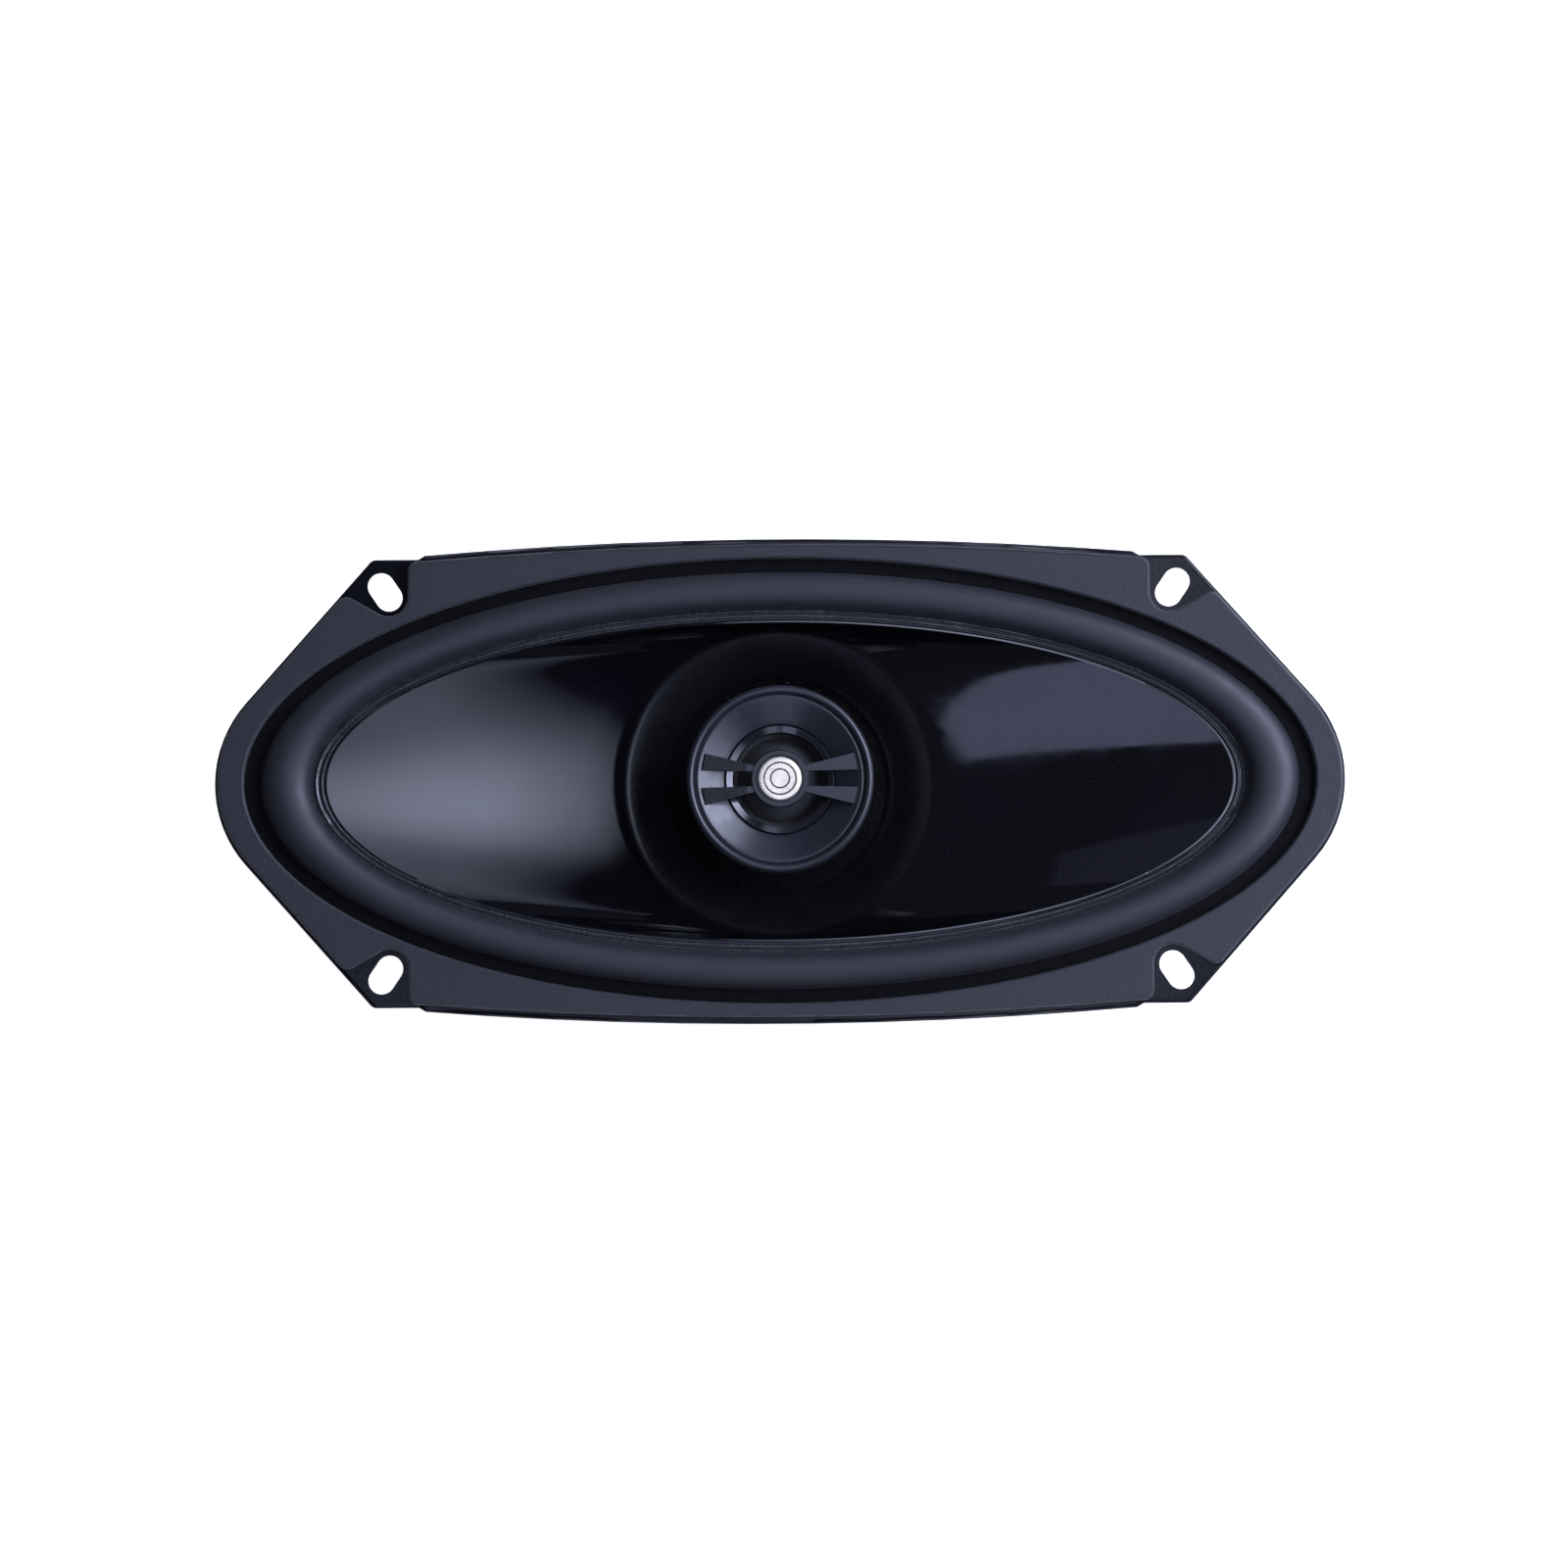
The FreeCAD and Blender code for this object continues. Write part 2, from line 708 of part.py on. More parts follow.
def make_voice_coil():
    """Former, its two-layer winding and the collar that joins it to the cone and the leads."""
    coil_middle = "motor_top - top_plate_thickness / 2"
    keep("voice_coil_former", turned("voice_coil_former", [
        ("former_inner", "neck_height - former_length"),
        ("former_outer", "neck_height - former_length"),
        ("former_outer", "neck_height"),
        ("former_inner", "neck_height"),
    ]))
    keep("voice_coil_winding", turned("voice_coil_winding", [
        ("former_outer", coil_middle + " - winding_length / 2"),
        ("winding_outer", coil_middle + " - winding_length / 2"),
        ("winding_outer", coil_middle + " + winding_length / 2"),
        ("former_outer", coil_middle + " + winding_length / 2"),
    ]))
    keep("neck_collar", turned("neck_collar", [
        ("former_outer", "cone_neck_top - 4.4"),
        ("collar_radius - 0.3", "cone_neck_top - 4.4"),
        ("collar_radius", "cone_neck_top - 4.1"),
        ("collar_radius", "cone_neck_top - 2.2"),
        ("former_outer", "cone_neck_top - 2.2"),
    ]))


def round_station(radius, height, outward=0.0, lower=0.0):
    """A round station of the cone, moved outwards and down for its back face."""
    reach = size(radius) + outward
    return (reach, reach, size(height) - lower)


def make_cone():
    """Cone with a round bowl at its neck, two long shallow wings and a flat gluing rim."""
    neck = size("former_outer")
    neck_top = size("cone_neck_top")
    foot = neck_top - size("cone_foot_drop")
    rim = size("cone_rim_height")
    wall = size("cone_wall")
    outer = elliptic_stack([
        (neck + 1.05, neck + 1.05, foot),
        round_station("cone_bowl_radius", "cone_bowl_height", 0.5, 1.0),
        round_station("cone_crease_radius", "cone_crease_height", 0.5, wall),
        (size("cone_edge_x") + 0.3, size("cone_edge_y") + 0.5, rim - wall),
        (size("cone_rim_x"), size("cone_rim_y"), rim - wall),
        (size("cone_rim_x"), size("cone_rim_y"), rim),
    ])
    inner = elliptic_stack(open_ended([
        (neck, neck, foot),
        (neck, neck, neck_top),
        (size("cone_neck_radius"), size("cone_neck_radius"), neck_top),
        round_station("cone_bowl_radius", "cone_bowl_height"),
        round_station("cone_crease_radius", "cone_crease_height"),
        (size("cone_edge_x"), size("cone_edge_y"), rim),
    ]))
    return keep("cone", feature("cone", outer.cut(inner)))


def roll_flank(direction, thinner):
    """Stations up one flank of the surround's half roll, outwards (1) or inwards (-1)."""
    base = size("flange_top") + (0 if thinner else size("rubber"))
    half_x = size("roll_half_x") - (size("rubber") if thinner else 0)
    half_y = size("roll_half_y") - (size("rubber") if thinner else 0)
    stations = []
    for step in range(5):
        turn = math.radians(18 * step)
        stations.append((
            size("crown_x") + direction * half_x * math.cos(turn),
            size("crown_y") + direction * half_y * math.cos(turn),
            base + size("roll_rise") * math.sin(turn),
        ))
    return stations


def make_surround():
    """Half-roll rubber surround: inner lip on the cone's rim, roll, and outer land on the flange."""
    land = size("flange_top")
    rubber = size("rubber")
    lip_foot = size("cone_rim_height")
    edge = (size("surround_edge_x"), size("surround_edge_y"))
    lip = (size("cone_edge_x") + 0.3, size("cone_edge_y") + 0.3)
    outer_top = roll_flank(1, False)
    inner_top = roll_flank(-1, False)
    outer_under = roll_flank(1, True)
    inner_under = roll_flank(-1, True)
    rim = inner_under[0][:2]
    skin = elliptic_stack([(*edge, land), (*edge, land + rubber), *outer_top])
    skin = skin.fuse(elliptic_stack([(*rim, lip_foot), (*rim, land + rubber / 2)]))
    bowl = elliptic_stack([
        (*lip, lip_foot - 1),
        (*lip, lip_foot + rubber),
        (*inner_top[0][:2], lip_foot + rubber),
        *inner_top,
        (*inner_top[-1][:2], inner_top[-1][2] + 1),
    ])
    hollow = elliptic_stack([(*outer_under[0][:2], land - 2), *outer_under])
    core = elliptic_stack([(*inner_under[0][:2], land - 3), *inner_under,
                           (*inner_under[-1][:2], inner_under[-1][2] + 1)])
    return keep("woofer_surround", feature("woofer_surround", skin.cut(bowl).cut(hollow.cut(core))))


def make_spider():
    """Corrugated cloth spider between the former and its shelf."""
    first_wave = size("spider_first_wave")
    pitch = size("spider_pitch")
    middle = size("shelf_height") + 0.25
    cloth = size("spider_cloth")
    under = [(size("former_outer"), middle), (first_wave - pitch / 2, middle)]
    for index in range(int(size("spider_waves"))):
        side = 1 if index % 2 == 0 else -1
        under.append((first_wave + pitch * index, middle + side * size("spider_wave")))
    under.append((size("shelf_inner_radius") - 0.2, size("shelf_height")))
    under.append((size("spider_radius"), size("shelf_height")))
    upper = [(radius, height + cloth) for radius, height in reversed(under)]
    outline = [*under, *upper, under[0]]
    ring = Part.makePolygon([FreeCAD.Vector(radius, 0, height) for radius, height in outline])
    solid = Part.Face(ring).revolve(ORIGIN, UP, 360)
    return keep("spider", feature("spider", solid))


# ---- tweeter ----


def make_post():
    """Hollow threaded post through the pole, with a side opening for the leads, and its nut."""
    yoke_foot = "motor_top - top_plate_thickness - magnet_thickness - back_plate_thickness"
    blank = turned("post_blank", [
        ("post_hollow", yoke_foot + " + thread_end"),
        ("post_radius - 0.3", yoke_foot + " + thread_end"),
        ("post_radius", yoke_foot + " + thread_end + 0.3"),
        ("post_radius", "motor_top"),
        ("post_shoulder", "motor_top"),
        ("post_shoulder", "post_top"),
        ("post_radius", "post_top"),
        ("post_radius", "post_top + post_spigot"),
        ("post_hollow", "post_top + post_spigot"),
    ])
    opening = box(
        "post_opening",
        ("0 - post_shoulder - 1", "0 - post_opening_half", "post_top - post_opening_foot"),
        ("0", "post_opening_half", "post_top - post_spigot"),
    )
    keep("tweeter_post", cut("tweeter_post", blank, opening))
    blank_nut = doc.addObject("Part::Prism", "nut_blank")
    blank_nut.Polygon = 6
    blank_nut.setExpression("Circumradius", bound("nut_corner_radius"))
    blank_nut.setExpression("Height", bound("nut_thickness"))
    blank_nut.setExpression("Placement.Base.z", bound(yoke_foot + " + thread_end"))
    keep("post_nut", cut("post_nut", blank_nut, rod("nut_hole", "post_radius", yoke_foot, "motor_top")))


def make_housing():
    """Pod bowl that holds the tweeter motor, with a flat pad for the solder terminals."""
    bowl = turned("housing_bowl", [
        ("post_bore", "post_top"),
        ("pod_foot_radius", "post_top"),
        ("pod_waist_radius - 1.2", "post_top + 2.2"),
        ("pod_waist_radius", "post_top + 3.8"),
        ("pod_waist_radius", "-0.4"),
        ("pod_radius - 0.6", "pod_seam - 1.5"),
        ("pod_radius", "pod_seam - 0.8"),
        ("pod_radius", "pod_seam"),
        ("pod_radius - 1.3", "pod_seam"),
        ("cup_seat_radius", "0.8"),
        ("cup_seat_radius", "cup_floor"),
        ("post_bore", "cup_floor"),
    ])
    pad = box(
        "housing_pad",
        ("0 - pad_far", "0 - pad_half_width", "pad_foot"),
        ("0 - pad_near", "pad_half_width", "1.2"),
    )
    core = rod("housing_core", "cup_seat_radius", "cup_floor", "2")
    keep("tweeter_housing", cut("tweeter_housing", fuse("housing", bowl, pad), core))
    plate_foot = "pad_foot - plate_thickness"
    keep("tweeter_terminal_plate", box(
        "tweeter_terminal_plate",
        ("0 - plate_far", "0 - plate_half_width", plate_foot),
        ("0 - plate_near", "plate_half_width", "pad_foot"),
    ))
    tags = []
    for side, centre in (("left", "solder_tag_place"), ("right", "(0 - solder_tag_place)")):
        corner = ("0 - solder_tag_near - solder_tag_thickness", f"{centre} - solder_tag_half",
                  plate_foot + " - solder_tag_length")
        opposite = ("0 - solder_tag_near", f"{centre} + solder_tag_half", plate_foot)
        tags.append(box(f"solder_tag_{side}", corner, opposite))
    keep("tweeter_solder_tags", group("tweeter_solder_tags", *tags))


def make_bezel():
    """Front bezel with its rounded rim and dished face, the throat ring, and the ribbed phase bridge."""
    keep("tweeter_bezel", turned("tweeter_bezel", [
        ("pod_radius", "pod_seam"),
        ("pod_radius", "pod_crest - 1.2"),
        ("pod_radius - 0.9", "pod_crest"),
        ("dish_radius + 0.6", "pod_crest - 0.6"),
        ("dish_radius + 0.5", "pod_crest - 1.3"),
        ("dish_radius + 0.1", "pod_crest - 1.3"),
        ("dish_radius", "dish_edge"),
        ("throat_radius", "throat_edge"),
        ("throat_radius", "1.4"),
        ("throat_radius + 0.9", "1.4"),
        ("throat_radius + 0.9", "throat_edge - 0.8"),
        ("dish_radius - 0.3", "dish_edge - 1.4"),
        ("pod_radius - 1.2", "dish_edge - 1.4"),
        ("pod_radius - 1.2", "pod_seam"),
    ], {1: -1.15, 2: -1.15}))
    keep("throat_ring", turned("throat_ring", [
        ("throat_radius - 0.7", "1.4"),
        ("throat_radius - 0.1", "1.4"),
        ("throat_radius - 0.1", "throat_edge"),
        ("throat_radius - 0.4", "throat_edge + 0.3"),
        ("throat_radius - 1.8", "throat_edge - 0.5"),
        ("throat_radius - 1.8", "throat_edge - 2.4"),
        ("throat_radius - 0.7", "throat_edge - 2.4"),
    ]))
    plug = turned("phase_plug", [
        ("0", "throat_edge"),
        ("3.6", "throat_edge"),
        ("plug_radius - 0.8", "throat_edge + 1"),
        ("plug_radius", "throat_edge + 2"),
        ("plug_radius", "plug_top - 0.4"),
        ("plug_radius - 0.4", "plug_top"),
        ("badge_radius + 0.6", "plug_top"),
        ("badge_radius + 0.4", "plug_top - 0.4"),
        ("0", "plug_top - 0.4"),
    ])
    slope = "(dish_edge - throat_edge) / (dish_radius - throat_radius)"
    ring = turned("rib_ring", [
        ("plug_radius - 0.7", "rib_foot"),
        (f"throat_radius + (rib_foot - throat_edge) / ({slope})", "rib_foot"),
        ("rib_reach", f"throat_edge + (rib_reach - throat_radius) * ({slope})"),
        ("rib_reach", "rib_top"),
        ("plug_radius - 0.7", "rib_top"),
    ])
    blades = []
    for index, (sign_x, sign_y) in enumerate(QUADRANTS):
        plan = (("rib_inner_x", "rib_gap_inner"), ("rib_outer_x", "rib_gap_outer"),
                ("rib_outer_x", "rib_edge_outer"), ("rib_inner_x", "rib_edge_inner"))
        corners = [(f"{sign_x} * {x}", f"{sign_y} * {y}") for x, y in plan]
        if sign_x * sign_y < 0:
            corners.reverse()
        blades.append(padded(f"rib_plan_{index}", corners, "rib_foot - 1", "4"))
    ribs = doc.addObject("Part::Common", "ribs")
    ribs.Base = ring
    ribs.Tool = fuse("rib_plans", *blades)
    keep("phase_bridge", fuse("phase_bridge", plug, ribs))
    keep("centre_badge", turned("centre_badge", [
        ("0", "plug_top - 0.4"),
        ("badge_radius", "plug_top - 0.4"),
        ("badge_radius", "plug_top + 0.1"),
        ("badge_radius - 0.4", "plug_top + 0.4"),
        ("0", "plug_top + 0.4"),
    ]))


def make_tweeter_motor():
    """Steel cup, neodymium disc and pole plate, and the spacer that carries the diaphragm."""
    keep("tweeter_cup", turned("tweeter_cup", [
        ("0", "cup_floor"),
        ("cup_radius - 0.5", "cup_floor"),
        ("cup_radius", "cup_floor + 0.5"),
        ("cup_radius", "gap_top"),
        ("cup_bore", "gap_top"),
        ("cup_bore", "cup_floor + 1.2"),
        ("0", "cup_floor + 1.2"),
    ]))
    keep("tweeter_magnet", turned("tweeter_magnet", [
        ("0", "cup_floor + 1.2"),
        ("tweeter_pole - 0.7", "cup_floor + 1.2"),
        ("tweeter_pole - 0.7", "gap_top - 2"),
        ("0", "gap_top - 2"),
    ]))
    keep("tweeter_pole_plate", turned("tweeter_pole_plate", [
        ("0", "gap_top - 2"),
        ("tweeter_pole", "gap_top - 2"),
        ("tweeter_pole", "gap_top"),
        ("0", "gap_top"),
    ]))
    keep("diaphragm_ring", turned("diaphragm_ring", [
        ("cup_bore + 0.65", "gap_top"),
        ("diaphragm_ring_radius", "gap_top"),
        ("diaphragm_ring_radius", "dome_base - 0.4"),
        ("diaphragm_edge", "dome_base"),
        ("cup_bore + 0.65", "dome_base"),
    ]))


def make_dome():
    """Silk dome with its former, winding and half-roll suspension."""
    rise = size("dome_rise")
    outer_radius = (size("dome_radius") ** 2 + rise**2) / (2 * rise)
    inner_rise = rise - 0.2
    inner_radius = ((size("dome_radius") - 0.2) ** 2 + inner_rise**2) / (2 * inner_rise)
    keep("tweeter_dome", turned("tweeter_dome", [
        ("0", "dome_base + dome_rise - 0.2"),
        ("dome_radius - 0.2", "dome_base"),
        ("dome_radius", "dome_base"),
        ("0", "dome_base + dome_rise"),
    ], {0: inner_radius, 2: -outer_radius}))
    keep("tweeter_coil_former", turned("tweeter_coil_former", [
        ("dome_radius - 0.17", "gap_top - 2.6"),
        ("dome_radius - 0.05", "gap_top - 2.6"),
        ("dome_radius - 0.05", "dome_base"),
        ("dome_radius - 0.17", "dome_base"),
    ]))
    keep("tweeter_coil_winding", turned("tweeter_coil_winding", [
        ("dome_radius - 0.05", "gap_top - 2.2"),
        ("dome_radius + 0.25", "gap_top - 2.2"),
        ("dome_radius + 0.25", "gap_top + 0.3"),
        ("dome_radius - 0.05", "gap_top + 0.3"),
    ]))
    keep("tweeter_surround", turned("tweeter_surround", [
        ("dome_radius", "dome_base"),
        ("dome_radius + 0.2", "dome_base"),
        ("dome_radius + 1.2", "dome_base"),
        ("diaphragm_edge", "dome_base"),
        ("diaphragm_edge", "dome_base + 0.2"),
        ("dome_radius + 1.4", "dome_base + 0.2"),
        ("dome_radius", "dome_base + 0.2"),
    ], {1: 0.52, 5: -0.71}))


# ---- terminals and leads ----


def across_board(label, radius, length, place):
    """A round rod along X through or on the terminal board."""
    shank = doc.addObject("Part::Cylinder", label)
    shank.setExpression("Radius", bound(radius))
    shank.setExpression("Height", bound(length))
    start = FreeCAD.Vector(*[worth(axis) for axis in place])
    shank.Placement = FreeCAD.Placement(start, FreeCAD.Rotation(90, 0, 90))
    return shank


def make_terminals():
    """Terminal board on the basket's tab, its two blades, rivets and the series capacitor."""
    board_face = "tab_face + steel"
    blade_face = board_face + " + board_thickness"
    outer_face = blade_face + " + blade_thickness"
    keep("terminal_board", box("terminal_board", (board_face, "0 - tab_half - board_overhang", "tab_foot"),
                               (blade_face, "tab_half + board_overhang", "board_top")))
    for label, middle, half_width in (("positive_terminal", "blade_place", "positive_half_width"),
                                      ("negative_terminal", "(0 - blade_place)", "negative_half_width")):
        tag = box(label + "_tag", (blade_face, middle + " - tag_half_width", "tag_foot"),
                  (outer_face, middle + " + tag_half_width", "tag_top"))
        blade = box(label + "_blade", (blade_face, f"{middle} - {half_width}", "blade_foot"),
                    (outer_face, f"{middle} + {half_width}", "blade_top"))
        hole = across_board(label + "_hole", "blade_hole_radius", "board_thickness * 6",
                            ("tab_face", middle, "blade_hole_height"))
        keep(label, cut(label, fuse(label, tag, blade), hole))
    rivets = [across_board(label, "board_rivet_radius", "board_rivet_head", (blade_face, "0 * steel", label))
              for label in ("board_rivet_upper", "board_rivet_lower")]
    keep("terminal_rivets", group("terminal_rivets", *rivets))
    can = doc.addObject("Part::Cylinder", "capacitor_can")
    can.setExpression("Radius", bound("capacitor_radius"))
    can.setExpression("Height", bound("capacitor_length"))
    centre = FreeCAD.Vector(size("tab_face") - size("capacitor_radius"), -size("capacitor_length") / 2,
                            size("capacitor_height"))
    can.Placement = FreeCAD.Placement(centre, FreeCAD.Rotation(FreeCAD.Vector(1, 0, 0), -90))
    keep("crossover_capacitor", can)


def make_leads():
    """Tweeter leads through the post and out at the back, capacitor lead, and the cone's tinsel leads."""
    yoke_foot = size("motor_top") - size("top_plate_thickness") - size("magnet_thickness") \
        - size("back_plate_thickness")
    floor_run = yoke_foot + 0.85
    radius = size("lead_radius")
    tag_x = size("tab_face") + size("steel") + size("board_thickness") + size("blade_thickness") + radius
    can_x = size("tab_face") - size("capacitor_radius")
    for label, sign in (("tweeter_lead_positive", 1), ("tweeter_lead_negative", -1)):
        down = [
            (-17.2, sign * 5.6, -4.4),
            (-14.0, sign * 4.4, -10.6),
            (-7.4, sign * 1.9, -14.2),
            (-0.6, sign * 1.0, -17.6),
            (0.9, sign * 1.0, -27.0),
            (-0.2, sign * 1.0, -41.0),
            (-0.4, sign * 1.0, floor_run + 4.4),
            (0.1, sign * 1.0, floor_run),
            (5.0, sign * 1.0, floor_run - 0.1),
            (20.0, sign * 0.9, floor_run + 0.1),
            (33.0, sign * 1.0, floor_run),
            (42.3, sign * 1.2, floor_run + 0.5),
        ]
        lead(label, down + lead_tail(sign, tag_x, floor_run), radius)
    lead("capacitor_lead", [
        (can_x, -size("capacitor_length") / 2, size("capacitor_height")),
        (can_x, -11.5, size("capacitor_height")),
        (can_x + 4, -14.6, -33.4),
        (tag_x - 1, -14.6, -32.4),
        (tag_x, -10.0, -32.0),
    ], radius)


def lead_tail(sign, tag_x, floor_run):
    """The last stretch of a tweeter lead: one ends under the capacitor, the other at the positive tag."""
    if sign < 0:
        return [(46.0, -2.0, floor_run + 7), (46.2, -4.0, -38.9)]
    return [(46.5, 4.0, floor_run + 8), (46.0, 15.4, -41.0), (50.5, 17.0, -35.0), (tag_x, 14.0, -32.4),
            (tag_x + 0.2, 9.4, -31.6)]


def make_tinsel():
    """Two flexible leads from the collar under the cone to the tags on the terminal board."""
    tag_x = size("tab_face") + size("steel") + size("board_thickness") + size("blade_thickness")
    for label, sign in (("tinsel_lead_positive", 1), ("tinsel_lead_negative", -1)):
        lead(label, [
            (13.9, sign * 3.6, -26.4),
            (22.0, sign * 5.0, -25.2),
            (34.0, sign * 7.6, -22.6),
            (46.0, sign * 9.4, -21.4),
            (56.5, sign * 9.6, -21.6),
            (60.0, sign * 9.0, -25.8),
            (tag_x + size("tinsel_radius"), sign * 7.0, -29.6),
        ], size("tinsel_radius"))


def build():
    """Make every sub-part."""
    fill_sheet()
    make_basket()
    make_gasket()
    make_motor()
    make_rivets()
    make_voice_coil()
    make_cone()
    make_surround()
    make_spider()
    make_post()
    make_housing()
    make_bezel()
    make_tweeter_motor()
    make_dome()
    make_terminals()
    make_leads()
    make_tinsel()
    doc.recompute()


def check_and_write():
    """Stop on any failed object or bad shape, then write one STEP file a node."""
    for item in doc.Objects:
        if "Invalid" in item.State or "Error" in item.State:
            raise ValueError(f"{item.Name} failed: {item.State}")
    for label, item in nodes.items():
        shape = item.Shape
        if shape.isNull() or not shape.isValid() or not shape.Solids:
            raise ValueError(f"{label} has no valid solid")
        print(f"{label:26s} solids {len(shape.Solids)} volume {shape.Volume:10.1f}")
    os.makedirs("parts", exist_ok=True)
    for label, item in nodes.items():
        item.Shape.exportStep(os.path.join("parts", label + ".step"))


build()
check_and_write()
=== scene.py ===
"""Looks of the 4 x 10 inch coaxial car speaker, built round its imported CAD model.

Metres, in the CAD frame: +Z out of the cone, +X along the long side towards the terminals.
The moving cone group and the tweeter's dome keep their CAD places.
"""
import json
import math

import bmesh
import bpy
import numpy as np
from mathutils import Matrix, Vector


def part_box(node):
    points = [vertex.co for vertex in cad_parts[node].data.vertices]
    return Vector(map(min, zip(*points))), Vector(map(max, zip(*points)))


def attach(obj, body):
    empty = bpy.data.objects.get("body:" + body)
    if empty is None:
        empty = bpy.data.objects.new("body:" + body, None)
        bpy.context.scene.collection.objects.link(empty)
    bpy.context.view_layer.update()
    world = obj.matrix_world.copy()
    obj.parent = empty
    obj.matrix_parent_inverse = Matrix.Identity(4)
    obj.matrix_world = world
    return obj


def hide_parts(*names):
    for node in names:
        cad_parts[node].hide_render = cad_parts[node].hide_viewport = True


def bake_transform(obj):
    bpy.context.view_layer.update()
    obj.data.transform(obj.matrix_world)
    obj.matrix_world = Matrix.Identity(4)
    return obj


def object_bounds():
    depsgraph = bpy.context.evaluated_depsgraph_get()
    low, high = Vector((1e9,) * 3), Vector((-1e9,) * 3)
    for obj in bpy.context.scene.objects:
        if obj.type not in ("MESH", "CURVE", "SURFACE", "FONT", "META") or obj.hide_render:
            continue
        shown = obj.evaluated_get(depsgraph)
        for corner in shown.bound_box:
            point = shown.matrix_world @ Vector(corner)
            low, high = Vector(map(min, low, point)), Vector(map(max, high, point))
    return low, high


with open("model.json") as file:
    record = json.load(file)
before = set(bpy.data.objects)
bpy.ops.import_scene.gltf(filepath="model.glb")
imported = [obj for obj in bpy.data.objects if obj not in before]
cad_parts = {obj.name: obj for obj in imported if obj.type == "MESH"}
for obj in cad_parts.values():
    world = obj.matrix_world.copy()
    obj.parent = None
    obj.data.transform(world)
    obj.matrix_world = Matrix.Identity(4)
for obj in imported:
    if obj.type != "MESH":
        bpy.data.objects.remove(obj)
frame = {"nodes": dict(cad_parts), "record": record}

MM = 0.001
CAD_BOX = [list(corner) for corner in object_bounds()]
NODES = frame["nodes"]


# ---- driving places, read from the frame ----

def low(node):
    """Lowest corner of a CAD node."""
    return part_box(node)[0]


def high(node):
    """Highest corner of a CAD node."""
    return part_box(node)[1]


FLOOR_Z = CAD_BOX[0][2]
CONE_RIM = high("cone")
SURROUND_EDGE = high("woofer_surround")
LAND_Z = high("basket").z
SPIDER_RADIUS = high("spider").x
SPIDER_Z = (low("spider").z + high("spider").z) / 2
FORMER_RADIUS = high("voice_coil_former").x
BADGE_RADIUS = high("centre_badge").x
BADGE_LOW_Z = low("centre_badge").z
BADGE_TOP_Z = high("centre_badge").z
DOME_RADIUS = high("tweeter_dome").x
DOME_TOP_Z = high("tweeter_dome").z
DOME_BASE_Z = low("tweeter_dome").z


# ---- mesh helpers ----

def add_object(name, mesh):
    """Link a mesh to the scene under its piece name."""
    piece = bpy.data.objects.new(name, mesh)
    bpy.context.scene.collection.objects.link(piece)
    return piece


def mesh_piece(name, points, faces, material, angle=None):
    """A closed smooth-shaded piece with outward normals; angle keeps edges sharper than it crisp."""
    mesh = bpy.data.meshes.new(name)
    mesh.from_pydata([tuple(point) for point in points], [], faces)
    form = bmesh.new()
    form.from_mesh(mesh)
    bmesh.ops.remove_doubles(form, verts=form.verts, dist=1e-7)
    bmesh.ops.recalc_face_normals(form, faces=form.faces)
    form.to_mesh(mesh)
    form.free()
    mesh.polygons.foreach_set("use_smooth", [True] * len(mesh.polygons))
    if angle is not None:
        mesh.set_sharp_from_angle(angle=math.radians(angle))
    mesh.materials.append(material)
    return add_object(name, mesh)


def ring_points(section, segments):
    """Points of an elliptic ring: section is a list of (half length, half width, height)."""
    turn = np.linspace(0, 2 * math.pi, segments, endpoint=False)
    rings = [np.stack([a * np.cos(turn), b * np.sin(turn), np.full(segments, z)], 1) for a, b, z in section]
    return np.concatenate(rings)


def grid_faces(rows, columns, close_rows=True):
    """Quads of a grid whose columns wrap round, and whose rows wrap round too if close_rows."""
    faces = []
    last = rows if close_rows else rows - 1
    for row in range(last):
        following = (row + 1) % rows
        for column in range(columns):
            beside = (column + 1) % columns
            faces.append((row * columns + column, row * columns + beside,
                          following * columns + beside, following * columns + column))
    return faces


def ring_piece(name, section, segments, material, angle=None):
    """A closed elliptic or round ring from the outline of its section."""
    points = ring_points(section, segments)
    return mesh_piece(name, points, grid_faces(len(section), segments), material, angle)


def solid_of_revolution(name, profile, segments, material, angle=None):
    """A turned solid; the profile of (radius, height) starts and ends on the axis."""
    section = [(radius, radius, height) for radius, height in profile]
    points = ring_points(section, segments)
    return mesh_piece(name, points, grid_faces(len(section), segments, False), material, angle)


def between(first, last, steps):
    """Evenly spaced stations from first towards last, last left out."""
    first, last = np.array(first), np.array(last)
    return [tuple(first + (last - first) * step / steps) for step in range(steps)]


def set_weights(piece, share):
    """Bake the ring's place and work out its weights from share, which maps (x, y, z) arrays to 0 on body_a
    .. 1 on body_b; the weights are not applied to anything.
    """
    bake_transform(piece)
    place = np.array([vertex.co for vertex in piece.data.vertices])
    weights = np.clip(share(*place.T), 0, 1).astype(np.float32)


def spline_points(route, resolution=10):
    """Points along a smooth NURBS line through the neighbourhood of the route's points."""
    curve = bpy.data.curves.new("route", "CURVE")
    curve.dimensions = "3D"
    spline = curve.splines.new("NURBS")
    spline.points.add(len(route) - 1)
    for point, place in zip(spline.points, route):
        point.co = (*place, 1)
    spline.order_u = 3
    spline.use_endpoint_u = True
    spline.resolution_u = resolution
    holder = bpy.data.objects.new("route", curve)
    bpy.context.scene.collection.objects.link(holder)
    line = bpy.data.meshes.new_from_object(holder)
    points = [vertex.co.copy() for vertex in line.vertices]
    bpy.data.objects.remove(holder)
    bpy.data.curves.remove(curve)
    bpy.data.meshes.remove(line)
    return points


